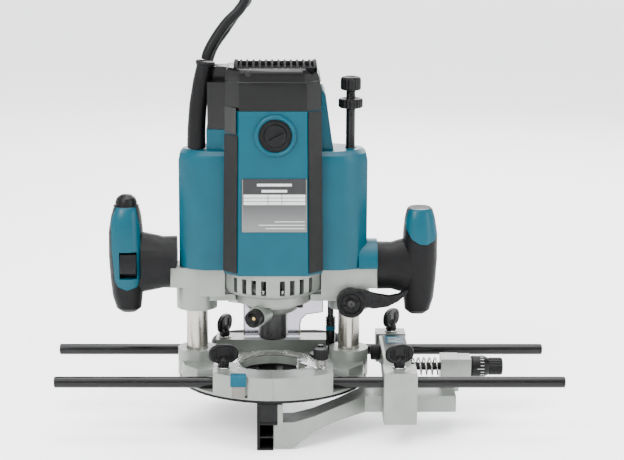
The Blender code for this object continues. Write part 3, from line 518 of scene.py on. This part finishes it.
def block(name, body, material, low, high, edges_mm):
    bm = bmesh.new()
    add_block(bm, low, high)
    return emit(bm, name, body, material, edges_mm=edges_mm)


def circle(radius, z, count=48):
    step = 2 * math.pi / count
    return [(radius * math.cos(step * i), radius * math.sin(step * i), z) for i in range(count)]


def add_turned(bm, profile, count=48, ends=True):
    """A turned shape from (radius, height) pairs, bottom to top."""
    add_loft(bm, [circle(r, z, count) for r, z in profile], ends)


def turned(name, body, material, profile, place=(0, 0, 0), turn=UP, count=48, ends=True):
    bm = bmesh.new()
    add_turned(bm, profile, count, ends)
    return emit(bm, name, body, material, place, turn)


def fluted_ring(radius, depth, flutes, z, per_flute=6):
    """A ring whose edge is cut by rounded flutes."""
    points = []
    for i in range(flutes * per_flute):
        a = 2 * math.pi * i / (flutes * per_flute)
        r = radius - depth * (0.5 - 0.5 * math.cos(a * flutes)) ** 1.5
        points.append((r * math.cos(a), r * math.sin(a), z))
    return points


def add_fluted(bm, profile, depth, flutes):
    """A fluted knob from (radius, height, share of the flute's depth) rows."""
    add_loft(bm, [fluted_ring(r, depth * share, flutes, z) for r, z, share in profile])


def fluted(name, body, material, profile, depth, flutes, place, turn=UP):
    bm = bmesh.new()
    add_fluted(bm, profile, depth, flutes)
    return emit(bm, name, body, material, place, turn)


def add_thread(bm, radius, depth, pitch, start, end, count, steps=6):
    """A screw thread: rings whose radius runs round with the height."""
    rows = int((end - start) / pitch * steps)
    rings = []
    for k in range(rows + 1):
        z = start + (end - start) * k / rows
        ring = []
        for i in range(count):
            turn = (z / pitch - i / count) % 1.0
            r = radius - depth * abs(2 * turn - 1)
            a = 2 * math.pi * i / count
            ring.append((r * math.cos(a), r * math.sin(a), z))
        rings.append(ring)
    add_loft(bm, rings)


def add_tube(bm, points, radius, count=12, closed=False):
    """A tube of round section along points."""
    line = [Vector(p) for p in points]
    rings = []
    side = None
    for i, here in enumerate(line):
        before = line[i - 1] if i or closed else here
        after = line[(i + 1) % len(line)] if i + 1 < len(line) or closed else here
        along = (after - before).normalized()
        if side is None:
            side = along.orthogonal().normalized()
        side = (side - along * side.dot(along)).normalized()
        other = along.cross(side)
        step = 2 * math.pi / count
        rings.append([here + radius * (side * math.cos(step * k) + other * math.sin(step * k))
                      for k in range(count)])
    add_loft(bm, rings, loop=closed)


# ---- cord ----------------------------------------------------------------------------------------

CORD_R = 4.5
HANK_Y = 183.5
HANK_ENDS = (-30.5, 41.5)  # centres of the round ends
LANES = {"outer": 27.0, "inner": 18.0}
LAYER = 9.02
CORD_FLOOR = -38.7
PLUG_X = 68.5
PLUG_Y = 161.0  # the plug's cord end
PLUG_Z = -24.9
CORD_END_Y = PLUG_Y + 0.5
PIN_X = 9.5
PIN_START = 57.0
PLUG_PROFILE = (
    (5.3, 0), (5.6, 1.5), (6.0, 5), (6.6, 9.5), (8.0, 12.5), (11.5, 15.5), (15.6, 18.5),
    (17.6, 22.5), (18.2, 28), (16.9, 33), (15.9, 39), (16.6, 46), (17.8, 51), (18.2, 54),
    (18.2, 57), (17.4, 58),
)

CORD_KNOTS = (
    (-58.4, -6.0, 288.8), (-56.6, -5.8, 295.4), (-50.2, -4.0, 307.0), (-40.5, 1.5, 320.0),
    (-29.0, 10.0, 331.0), (-23.0, 18.0, 342.0), (-20.0, 31.0, 353.0), (-19.0, 48.0, 356.5),
    (-20.5, 65.0, 348.0), (-23.7, 80.0, 332.1), (-30.2, 84.0, 324.4), (-37.0, 86.0, 314.5),
    (-44.1, 88.0, 303.8), (-56.3, 92.0, 284.8), (-64.0, 95.0, 256.5), (-68.0, 97.0, 225.0),
    (-69.2, 98.5, 200.0), (-70.2, 101.0, 160.0), (-71.2, 104.0, 115.0), (-72.5, 108.0, 70.0),
    (-74.5, 111.0, 30.0), (-77.5, 115.0, 0.0), (-81.5, 123.5, -24.0), (-85.5, 140.0, -37.0),
    (-88.0, 160.0, -38.7), (-86.0, 180.0, -38.7), (-78.2, 197.4, -38.7), (-66.2, 208.0, -38.7),
    (-53.4, 211.0, -38.7),
)


def smooth_line(knots, pieces=8):
    """A Catmull-Rom curve through the knots."""
    line = [Vector(k) for k in knots]
    padded = [2 * line[0] - line[1], *line, 2 * line[-1] - line[-2]]
    fine = []
    for a, b, c, d in zip(padded, padded[1:], padded[2:], padded[3:]):
        for i in range(pieces):
            t = i / pieces
            fine.append(0.5 * (2 * b + (c - a) * t + (2 * a - 5 * b + 4 * c - d) * t**2
                               + (3 * b - a - 3 * c + d) * t**3))
    fine.append(line[-1])
    return fine


def ease(t):
    t = min(max(t, 0.0), 1.0)
    return t * t * (3 - 2 * t)


def run(points, y_from, y_to, z_from, z_to, window, direction, count=16):
    """A straight run of the hank, which changes lane or layer inside a window of its length."""
    left, right = HANK_ENDS
    for i in range(count):
        share = i / count
        x = left + (right - left) * (share if direction > 0 else 1 - share)
        t = ease((share - window[0]) / (window[1] - window[0]))
        points.append(Vector((x, HANK_Y + y_from + (y_to - y_from) * t,
                              z_from + (z_to - z_from) * t)))


def end_turn(points, centre_x, radius, z, start_deg, share=1.0, count=12):
    """Half a turn round an end of the hank, clockwise from above."""
    for i in range(count):
        a = math.radians(start_deg - 180 * share * i / count)
        points.append(Vector((centre_x + radius * math.cos(a), HANK_Y + radius * math.sin(a), z)))


def hank_line():
    """The folded cord: four laps in three layers, and half a lap to the plug.

    Each change of lane or layer is made on the near run, a little after the next lap's, so no two
    laps meet."""
    left, right = HANK_ENDS
    laps = (
        ("outer", "inner", 0, 0, (0.65, 1.0)),
        ("inner", "inner", 0, 1, (0.42, 0.63)),
        ("inner", "outer", 1, 1, (0.21, 0.42)),
        ("outer", "outer", 1, 2, (0.0, 0.21)),
    )
    points = []
    for lane, next_lane, layer, next_layer, window in laps:
        wide, next_wide = LANES[lane], LANES[next_lane]
        z, next_z = CORD_FLOOR + LAYER * layer, CORD_FLOOR + LAYER * next_layer
        run(points, wide, wide, z, z, (0.0, 1.0), 1)
        end_turn(points, right, wide, z, 90)
        run(points, -wide, -next_wide, z, next_z, window, -1)
        end_turn(points, left, next_wide, next_z, 270)
    wide, z = LANES["outer"], CORD_FLOOR + 2 * LAYER
    run(points, wide, wide, z, z, (0.0, 1.0), 1)
    end_turn(points, right, wide, z, 90, 0.5, 6)
    points.append(Vector((PLUG_X, HANK_Y, z)))
    for share in (0.25, 0.5, 0.75, 1.0):
        y = HANK_Y + (CORD_END_Y - HANK_Y) * share
        points.append(Vector((PLUG_X, y, z + (PLUG_Z - z) * ease(share))))
    return points


def add_cord():
    points = smooth_line(CORD_KNOTS) + hank_line()
    bm = bmesh.new()
    add_tube(bm, points, CORD_R, 16)
    cord = emit(bm, "power_cord", None, soft_rubber())
    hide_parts("cord", "cord_hank")
    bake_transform(cord)
    length = sum((b - a).length for a, b in zip(points, points[1:])) * MM
    print("cord length", round(length, 4))
    return cord, points


def add_sleeve_ribs():
    """Four ribs round the plug's sleeve, each a little larger than the last."""
    ribs = []
    for k in range(4):
        crest = 6.9 + 0.2 * k
        ribs.append(turned(f"sleeve_rib_{k}", "base", soft_rubber(),
                           [(5.6, 0), (crest, 0.3), (crest, 1.2), (5.6, 1.5)],
                           (PLUG_X, PLUG_Y - 1.0 - 2.6 * k, PLUG_Z), FACING_Y, 32))
    return ribs


def add_pins():
    """Two round pins, each with a black sleeve at its root."""
    pins = []
    for side, word in SIDES:
        place = (PLUG_X + side * PIN_X, PLUG_Y - PIN_START, PLUG_Z)
        pins.append(turned(f"plug_pin_{word}", "base", bright_steel(),
                           [(2.4, 0), (2.4, 17.5), (1.9, 19), (1.0, 19.6)], place, FACING_Y, 24))
        pins.append(turned(f"pin_sleeve_{word}", "base", black_plastic(),
                           [(2.55, 0), (2.55, 8.5)], place, FACING_Y, 24))
    return pins


def add_tie():
    """The strap round the hank, with two cut corners above."""
    half_wide, half_high, corner, inner = 32.3, 13.9, 4, 0.93
    low = -half_high + 0.3
    loop = [(half_wide - corner, half_high), (half_wide, half_high - corner), (half_wide, low),
            (-half_wide, low), (-half_wide, half_high - corner), (-half_wide + corner, half_high)]
    rings = [[(-8, y, z), (2, y, z), (2, y * inner, z * inner), (-8, y * inner, z * inner)]
             for y, z in loop]
    tie = bmesh.new()
    add_loft(tie, rings, loop=True)
    return emit(tie, "cord_tie", "base", strip_rubber(), (-4, HANK_Y, CORD_FLOOR + LAYER),
                edges_mm=0.4)


def add_plug():
    """The plug's body with its finger grips, and the pieces that go with it."""
    plug = turned("mains_plug", "base", soft_rubber(), PLUG_PROFILE, (PLUG_X, PLUG_Y, PLUG_Z),
                  FACING_Y, 40)
    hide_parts("plug")
    ribs = add_sleeve_ribs()
    pins = add_pins()
    return [plug, add_tie(), *ribs, *pins]


def add_cord_and_plug():
    cord, points = add_cord()
    plug_pieces = add_plug()


# ---- finer pieces --------------------------------------------------------------------------------

BRUSH = (2.0, 228.0)  # x and z of the brush axis
COLUMN_X = 68.3
ROD_Y = 52.0
ROD_Z = 9.5
BARREL = (43.5, 47.0, 13.0)  # half width, half depth and corner of the motor barrel
LEVER = (69.0, 74.6)  # x and z of the lock lever's pivot
POLE = (52.5, 18.0)  # x and y of the stopper pole
BUTTON_START = (-5.0, -14.0, 64.8)
BUTTON_TURN = -112
ADJUSTER = (0, -8.0, 11.0)  # a point on the fine adjuster's axis
PLUNGE_COIL = (31.3, 204.5)  # lower and upper end of the springs in the columns
ADJUST_COIL = (124.0, 149.0)  # left and right end of the adjuster's spring


def barrel_scale(z):
    """How much the motor barrel has narrowed at a height."""
    return 1 - 0.045 * (z - 104.0) / 145.0


def octagon(scale, z, grow=0.0):
    x, y, corner = (BARREL[0] * scale + grow, BARREL[1] * scale + grow, BARREL[2] * scale)
    half = [(x, -y + corner), (x, y - corner), (x - corner, y), (-x + corner, y)]
    half += [(-x, y - corner), (-x, -y + corner), (-x + corner, -y), (x - corner, -y)]
    return [(px, py, z) for px, py in half]


def torus(name, body, material, radius, thick, place, turn, count=56):
    bm = bmesh.new()
    add_tube(bm, circle(radius, 0, count), thick, 10, closed=True)
    return emit(bm, name, body, material, place, turn)


def cross_screw(name, body, place, turn, radius=3.0, material=None):
    """A domed screw head with a cross recess, shown as four quarters round a dark floor; the recess
    is not cut, and its dark cross is painted shade.
    """
    profile = [(radius, 0), (radius, radius * 0.25), (radius * 0.86, radius * 0.48),
               (radius * 0.6, radius * 0.62), (radius * 0.3, radius * 0.66)]
    turned(name, body, material or dark_steel(), profile, place, turn, 32)
    # two dark bars over the dome: painted shade where the cross recess lies
    bm = bmesh.new()
    for quarter in (0, 1):
        spin = Matrix.Rotation(math.radians(35 + 90 * quarter), 4, "Z")
        add_block(bm, (-radius * 0.55, -radius * 0.1, radius * 0.5),
                  (radius * 0.55, radius * 0.1, radius * 0.675), spin)
    emit(bm, name + "_recess_shade", body, black_and_recess_shade(), place, turn, smooth=False)


def crown(y):
    """How far the grille's face stands below its middle, falling to the front and the rear."""
    return -1.1 - 0.184 * max(y - 2, 0) - 0.16 * max(-18 - y, 0)


def add_crowned_bar(bm, low, high, pieces=10):
    """A bar between two corners whose lower and upper faces follow the crown."""
    rings = []
    for i in range(pieces + 1):
        y = low[1] + (high[1] - low[1]) * i / pieces
        fall = crown(y)
        rings.append([(low[0], y, low[2] + fall), (high[0], y, low[2] + fall),
                      (high[0], y, high[2] + fall), (low[0], y, high[2] + fall)])
    add_loft(bm, rings)


def add_grille():
    """The air inlet: a frame with thin ribs that run front to back over crossing ribs."""
    frame_bm = bmesh.new()
    low, high = 285.5, 289.5
    for x0, x1 in ((-34.0, -30.6), (34.6, 38.0)):
        add_crowned_bar(frame_bm, (x0, -36, low), (x1, 36, high))
    for y0, y1 in ((-36, -32), (32, 36)):
        add_crowned_bar(frame_bm, (-34, y0, low), (38, y1, high), 2)
    border = emit(frame_bm, "grille_frame", "head", matt_plastic(), edges_mm=0.8)
    ribs = bmesh.new()
    count, pitch = 12, 5.45
    for k in range(count):
        x = 2.0 + (k - (count - 1) / 2) * pitch
        add_crowned_bar(ribs, (x - 0.95, -33, 285.2), (x + 0.95, 33, 289.3))
    for y in (-22, -11, 0, 11, 22):
        add_crowned_bar(ribs, (-32, y - 0.7, 285.2), (36, y + 0.7, 287.6), 1)
    ribs = emit(ribs, "grille_ribs", "head", matt_plastic(), edges_mm=0.3)
    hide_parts("air_grille")
    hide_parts("air_grille")


def add_cap_details():
    lip = bmesh.new()
    add_tube(lip, octagon(0.955 * 0.985, 274.0, 0.15), 0.55, 8, closed=True)
    emit(lip, "cap_lip", "head", gloss_black())
    cross_screw("cap_screw", "head", (-21.5, -41.6, 280.6),
                Matrix.Rotation(math.radians(58), 4, "X"), 3.0, black_and_recess_shade())


def add_brush_details():
    for side, word in ((-1, "front"), (1, "rear")):
        turn = FACING_Y if side < 0 else ALONG_Y
        place = (BRUSH[0], side * 46.3, BRUSH[1])
        torus(f"brush_rim_{word}", "head", blue_plastic(), 16.5, 1.7, place, turn)
        torus(f"brush_ridge_{word}", "head", black_plastic(), 12.4, 0.75, place, turn)


def add_rods():
    for node, y, left in (("rod_front", -ROD_Y, -192.8), ("rod_rear", ROD_Y, -199.0)):
        profile = [(1.6, 1.2), (1.9, 0), (4.1, 0), (5.0, 0.9), (5.0, 449.1), (4.1, 450)]
        rod = turned(node + "_bar", "rods", black_steel(), profile, (left, y, ROD_Z), ALONG_X, 64)
        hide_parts(node)


def add_lever_details():
    """The lever's two raised rings, screw, spokes and the ribs on its arm."""
    x, z = LEVER
    for k, (radius, y) in enumerate(((11.3, -30.0), (8.4, -28.1))):
        torus(f"lever_rib_{k}", "lock_lever", black_plastic(), radius, 0.55, (x, y, z), FACING_Y)
    cross_screw("lever_screw", "lock_lever", (x, -30.5, z), FACING_Y, 3.7)
    spokes = bmesh.new()
    for k in range(4):
        spin = Matrix.Rotation(math.radians(20 + 90 * k), 4, "Z")
        add_block(spokes, (4.2, -0.45, 9.0), (9.9, 0.45, 10.4), spin)
    emit(spokes, "lever_spokes", "lock_lever", black_plastic(), (x, -19.0, z), FACING_Y)
    ribs = bmesh.new()
    for k in range(5):
        spot = x + 19 + k * 4.2
        add_block(ribs, (spot, -28.0, z - 1.6 + k * 0.9), (spot + 1.2, -27.2, z + 5.6 - k * 0.1))
    emit(ribs, "lever_arm_ribs", "lock_lever", black_plastic(), edges_mm=0.3)


def add_button_details():
    """The shaft lock button's rim and the brass dot in it."""
    turn = Matrix.Rotation(math.radians(BUTTON_TURN), 4, "Z") @ ALONG_X
    along = turn @ Vector((0, 0, 1))
    centre = Vector(BUTTON_START) + along * 30
    torus("button_rim", "shaft_lock", black_plastic(), 7.0, 0.7, tuple(centre + along * 3.8), turn)
    turned("button_dot", "shaft_lock", brass(), [(1.9, 0), (1.9, 0.6), (1.3, 1.0), (0.5, 1.1)],
           tuple(centre + along * 1.4), turn, 24)


def add_stop_screw():
    """The threaded stop screw, its fluted knob and the round nut on it."""
    place = (COLUMN_X, 0, 0)
    thread = bmesh.new()
    add_thread(thread, 4.4, 0.55, 1.6, 168.0, 262.0, 20)
    add_turned(thread, [(3.9, 30.5), (3.9, 168.5)], 20)
    thread = emit(thread, "stop_thread", "stop_screw", black_steel(), place)
    knob = fluted("stop_knob", "stop_screw", black_plastic(),
                  ((8.2, 261.5, 0.4), (9.0, 262.4, 1), (9.0, 270.4, 1), (8.5, 272.0, 0.7),
                   (7.3, 273.0, 0.2), (4.6, 273.3, 0), (4.2, 272.4, 0)), 0.7, 18, place)
    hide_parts("stop_screw")
    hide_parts("stop_screw")
    nut = fluted("stop_nut_fluted", "stop_nut", black_plastic(),
                 ((9.4, 245.6, 0.4), (10.75, 246.7, 1), (10.75, 252.8, 1), (9.9, 253.8, 0.5),
                  (7.4, 254.0, 0), (6.6, 253.2, 0)), 0.8, 20, place)
    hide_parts("stop_nut")


def add_wing(node, middle, place, turn):
    """An oval wing that stands on edge, with three ribs in each hollow face of each lobe."""
    wing = bmesh.new()
    rings = []
    for depth, size in ((-2.6, 0.86), (-2.6, 0.90), (-2.1, 0.97), (-1.2, 1.0), (1.2, 1.0),
                        (2.1, 0.97), (2.6, 0.90), (2.6, 0.86), (1.6, 0.72)):
        ring = []
        for i in range(44):
            a = 2 * math.pi * i / 44
            wide = math.copysign(abs(math.cos(a)) ** 0.85, math.cos(a))
            tall = math.copysign(abs(math.sin(a)) ** 0.85, math.sin(a))
            ring.append((13.2 * size * wide, depth, middle + 8.6 * size * tall))
        rings.append(ring)
    first = [(x * 0.84, -1.6, middle + (z - middle) * 0.84) for x, _, z in rings[0]]
    add_loft(wing, [first, *rings])
    for side in (-1, 1):
        for k in (-1, 0, 1):
            for lobe in (-1, 1):
                x = lobe * 6.6 + k * 2.0
                low, high = sorted((side * 1.2, side * 2.35))
                add_block(wing, (x - 0.5, low, middle - 4), (x + 0.5, high, middle + 4))
    return emit(wing, node + "_wing", node, black_plastic(), place, turn)


def add_wing_screw(node, x, y, seat, turn_deg):
    """A thumb screw: an oval wing over a fluted hub, a brassy thread and a steel washer."""
    place = (x, y, 0)
    thread = bmesh.new()
    add_thread(thread, 2.6, 0.35, 1.1, ROD_Z + 5.4, seat + 3.0, 18)
    thread = emit(thread, node + "_thread", node, brassy_steel(), place)
    washer = turned(node + "_washer", node, bright_steel(),
                    [(3.0, seat + 0.3), (5.6, seat + 0.3), (5.8, seat + 0.6), (5.6, seat + 1.4),
                     (3.0, seat + 1.5)], place, count=40)
    hub = fluted(node + "_hub", node, black_plastic(),
                 ((4.4, seat + 1.6, 0.3), (5.0, seat + 2.1, 1), (4.9, seat + 5.4, 1),
                  (4.0, seat + 7.2, 0.4), (3.4, seat + 11, 0)), 0.4, 14, place)
    spin = Matrix.Rotation(math.radians(turn_deg), 4, "Z")
    wing = add_wing(node, seat + 13, place, spin)
    for made in (thread, washer, hub, wing):
        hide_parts(node)


def add_wing_screws():
    add_wing_screw("base_wing_front", -43.5, -ROD_Y, 22.5, 8)
    add_wing_screw("base_wing_rear", -45.0, ROD_Y, 21.5, 68)
    add_wing_screw("holder_wing_front", 111.0, -ROD_Y, 22.5, 20)
    add_wing_screw("holder_wing_rear", 110.0, ROD_Y, 27.0, 60)


def add_nozzle_knob():
    """The knob on the clear ring's post, its steel stem and the spring under it."""
    place = (42.0, -ROD_Y, 0)
    knob = fluted("nozzle_knob_fluted", "nozzle_knob", black_plastic(),
                  ((5.9, 30.9, 0.4), (6.6, 31.6, 1), (6.6, 38.6, 1), (6.1, 39.8, 0.6),
                   (5.0, 40.2, 0), (3.6, 39.6, 0)), 0.45, 26, place)
    stem = turned("nozzle_stem", "nozzle_knob", bright_steel(), [(2.0, 22.9), (2.0, 31.2)], place,
                  count=24)
    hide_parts("nozzle_knob")
    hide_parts("nozzle_knob")
    coil = spring("nozzle_coil", 3.1, 0.4, 5, (23.6, 29.6), place, steps=14)
    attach(coil, "base")


def add_template_details():
    """The template-guide lock's ridges and the strip of steel on its front."""
    x, y, z = -30.0, -83.0, 4.5
    ridges = bmesh.new()
    for k in range(3):
        near = y + 0.2 + 1.5 * k
        add_block(ridges, (x - 6.4, near, z + 20.6), (x + 6.4, near + 0.7, z + 21.4))
    emit(ridges, "lock_tab_ridges", "template_lock", label_blue(), edges_mm=0.25)
    block("lock_strip", "template_lock", dull_steel(),
          (x - 5.7, y - 1.15, z + 0.1), (x + 5.7, y - 0.85, z + 10.4), 0.1)


def plate_face(z):
    """The y of the rating plate's face at a height."""
    return -BARREL[1] * barrel_scale(z) - 0.95


def add_plate_bar(bm, x0, x1, z0, z1, proud=0.12):
    rings = []
    for z in (z0, z1):
        face = plate_face(z)
        rings.append([(x0, face - proud, z), (x1, face - proud, z), (x1, face + 0.2, z),
                      (x0, face + 0.2, z)])
    add_loft(bm, rings)


def add_plate_details():
    """A pale heading, a table of blank cells and ruled lines, with no lettering."""
    pale = bmesh.new()
    for k, length in enumerate((30, 22)):
        left = 1.2 - length / 2
        add_plate_bar(pale, left, left + length, 184.2 - 5.4 * k, 186.4 - 5.4 * k)
    for z in (174.2, 171.0, 167.8):
        for x0, x1 in ((-25.4, -4.6), (-4.0, 7.4), (8.0, 27.9)):
            add_plate_bar(pale, x0, x1, z, z + 2.6)
    for k, length in enumerate((26, 40, 34)):
        add_plate_bar(pale, 27.5 - length, 27.5, 152.6 - 3.0 * k, 153.2 - 3.0 * k)
    emit(pale, "plate_print", "head", label_white())
    edge = bmesh.new()
    for x in (-26.6, 28.5):
        add_plate_bar(edge, x, x + 0.6, 144.1, 190.0)
    emit(edge, "plate_edge", "head", dull_steel())


def spring(name, radius, wire, turns, ends, place, turn=UP, steps=20):
    """A coil spring between two distances along its axis; the caller says what it follows."""
    first, last = ends
    points = []
    for i in range(steps * turns + 1):
        a = 2 * math.pi * i / steps
        points.append((radius * math.cos(a), radius * math.sin(a),
                       first + (last - first) * i / (steps * turns)))
    bm = bmesh.new()
    add_tube(bm, points, wire, 8)
    return emit(bm, name, None, bright_steel(), place, turn)


def add_plunge_springs():
    """The springs in the columns: they stand in the base and end under the head's roof."""
    for side, word in SIDES:
        x = side * COLUMN_X
        coil = spring(f"plunge_coil_{word}", 5.9, 0.6, 14, PLUNGE_COIL, (x, 0, 0), steps=14)
        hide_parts(f"plunge_spring_{word}")
        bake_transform(coil)


def add_adjuster():
    """The fine adjuster: a long screw, a drum with a ring of marks, and a fluted grip."""
    screw = bmesh.new()
    add_thread(screw, 3.85, 0.45, 1.5, 104.2, 179.0, 20)
    drum = bmesh.new()
    add_turned(drum, [(8.6, 178.4), (9.5, 179.0), (9.7, 180.0), (9.7, 189.6), (9.5, 190.4),
                      (7.6, 194.3), (7.0, 194.6)], 64)
    marks = bmesh.new()
    for k in range(20):
        spin = Matrix.Rotation(2 * math.pi * k / 20, 4, "Z")
        start = 183.6 if k % 5 == 0 else 186.6
        add_block(marks, (9.5, -0.22, start), (9.85, 0.22, 189.8), spin)
    grip = bmesh.new()
    add_fluted(grip, ((7.0, 194.2, 0.4), (7.9, 195.0, 1), (7.9, 205.2, 1), (7.4, 206.5, 0.6),
                      (5.8, 207.0, 0), (4.8, 206.2, 0)), 0.6, 20)
    for bm, name, material in ((screw, "adjust_thread", black_steel()),
                               (drum, "adjust_drum", black_plastic()),
                               (marks, "adjust_marks", label_white()),
                               (grip, "adjust_grip", black_plastic())):
        made = emit(bm, name, "adjust_dial", material, ADJUSTER, ALONG_X)
        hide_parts("adjust_dial")
    coil = spring("adjust_coil", 7.6, 0.8, 5, ADJUST_COIL, ADJUSTER, ALONG_X)
    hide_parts("adjust_spring")
    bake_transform(coil)


def add_holder_label():
    """The black plate on the holder, its blue label and four marks in place of print."""
    block("holder_plate", "holder", black_plastic(), (100.6, -35.5, 26.6), (121.4, 35.5, 27.9), 0.5)
    block("holder_label", "holder", label_blue(), (102.5, 8.0, 27.6), (119.0, 32.0, 28.1), 0.15)
    marks = bmesh.new()
    for k in range(4):
        right = 116.5 - 3.0 * (k % 2)
        near = 11.0 + 4.6 * k
        add_block(marks, (105.0, near, 28.0), (right, near + 1.2, 28.2))
    emit(marks, "holder_marks", "holder", label_white())


def add_pole_details():
    """The stopper pole's ridges and its marker ring."""
    x, y = POLE
    for k, z in enumerate((49.0, 46.8, 44.6)):
        torus(f"pole_ridge_{k}", "stopper_pole", black_plastic(), 4.2, 0.45, (x, y, z), UP, 32)
    turned("pole_marker", "stopper_pole", label_blue(),
           [(4.3, 38.0), (4.45, 38.4), (4.45, 41.6), (4.3, 42.0)], (x, y, 0), count=32)


def add_boss_screws(side, word):
    for z, height in ((118.0, "low"), (196.0, "high")):
        cross_screw(f"boss_screw_{word}_{height}", "head", (side * 50.0, 26.0, z), ALONG_Y, 3.2)


def add_rear_strip(side, word):
    """The rubber strip over a rear corner of the motor barrel."""
    strip = bmesh.new()
    rings = []
    for z in (106.5, 227.0):
        scale = barrel_scale(z)
        x, y, corner = (size * scale for size in BARREL)
        inner = [(x - 0.35, y - corner - 0.85), (x - corner + 0.85, y - 0.35)]
        outer = [(px + 0.9, py + 0.9) for px, py in reversed(inner)]
        rings.append([(side * px, py, z) for px, py in inner + outer])
    add_loft(strip, rings)
    emit(strip, f"rear_strip_{word}", "head", strip_rubber(), edges_mm=0.3)


def add_rear_details():
    """Screws, corner strips and louvres on the back."""
    for side, word in SIDES:
        add_boss_screws(side, word)
        add_rear_strip(side, word)
    louvres = bmesh.new()
    for k in range(7):
        z = 128.0 + 6.4 * k
        y = BARREL[1] * barrel_scale(z)
        rings = []
        for x in (-22, 22):
            rings.append([(x, y - 0.5, z), (x, y + 1.3, z), (x, y + 0.9, z + 1.2),
                          (x, y - 0.5, z + 3.4)])
        add_loft(louvres, rings)
    emit(louvres, "rear_louvres", "head", blue_plastic(), edges_mm=0.3)


def add_guard_lip():
    lean = Matrix.Rotation(math.radians(12), 4, "Y")
    torus("guard_lip", "head", soft_rubber(), 7.3, 1.5, (-59.0, -6.0, 285.8), lean)


def add_fence_end():
    block("fence_end", "fence", strip_rubber(), (-11.6, -80.9, -18.6), (3.6, -79.8, -2.6), 0.2)


def add_ring_rims():
    """The clear ring's moulded rims."""
    for k, (radius, z) in enumerate(((33.0, 12.6), (37.0, 12.6), (41.5, 11.6))):
        torus(f"ring_rim_{k}", "base", clear_plastic(), radius, 0.55, (0, 0, z), UP, 72)


def add_deflector_edges():
    """Thin lines along the cut edges of the chip deflector."""
    edges = bmesh.new()
    y = 49.9
    left = ((-27, 24), (-27, 54), (-41, 56), (-41, 71))
    right = ((25, 24), (25, 34), (26, 39), (31, 44), (46, 46), (46, 71))
    for line in (left, right):
        add_tube(edges, [(x, y, z) for x, z in line], 0.55, 8)
    emit(edges, "deflector_edges", "base", amber_edge())


def add_boss_seam():
    """The casting seam over the middle of the base's front boss."""
    seam = bmesh.new()
    add_block(seam, (-0.3, -84.6, 3.0), (0.3, -83.6, 22.5))
    add_block(seam, (-0.3, -84.4, 22.2), (0.3, -58.5, 22.75))
    emit(seam, "boss_seam", "base", cast_silver(), edges_mm=0.2)


def add_inlet_shade_sheet():
    """A dark sheet under the grille: painted shade, so that the inlet looks deep."""
    block("inlet_shade_sheet", "head", matt_plastic(), (-30.5, -30.5, 271.5), (32.5, 30.5, 273.0), 0.3)


def add_button_collar():
    torus("button_collar", "head", soft_rubber(), 10.7, 0.8, (-130.7, 0, 157.3), UP)


def add_speed_wheel():
    wheel = fluted("speed_wheel", "speed_dial", black_plastic(),
                   ((6.9, -6.5, 0.4), (7.6, -5.8, 1), (7.6, 5.8, 1), (6.9, 6.5, 0.4)), 0.5, 26,
                   (0, 40.0, 194.0), ALONG_X)
    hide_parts("speed_dial")


def add_side_knob():
    """The holder's side knob and its stem."""
    knob = bmesh.new()
    add_fluted(knob, ((5.9, 89.0, 0.3), (6.8, 89.9, 1), (6.8, 96.6, 1), (6.2, 97.6, 0.5)), 0.5, 22)
    add_turned(knob, [(2.0, 97.0), (2.0, 102.0)], 20)
    knob = emit(knob, "side_knob_fluted", "side_knob", black_plastic(), (0, 12.0, 18.0), ALONG_X)
    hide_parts("side_knob")


def add_details():
    add_grille()
    add_cap_details()
    add_brush_details()
    add_rods()
    add_lever_details()
    add_button_details()
    add_stop_screw()
    add_wing_screws()
    add_nozzle_knob()
    add_template_details()
    add_plate_details()
    add_adjuster()
    add_holder_label()
    add_pole_details()
    add_rear_details()
    add_button_collar()
    add_speed_wheel()
    add_side_knob()
    add_guard_lip()
    add_fence_end()
    add_ring_rims()
    add_deflector_edges()
    add_boss_seam()
    add_inlet_shade_sheet()
    add_plunge_springs()


add_camera()
add_cord_and_plug()
add_studio()
dress_all()
add_details()
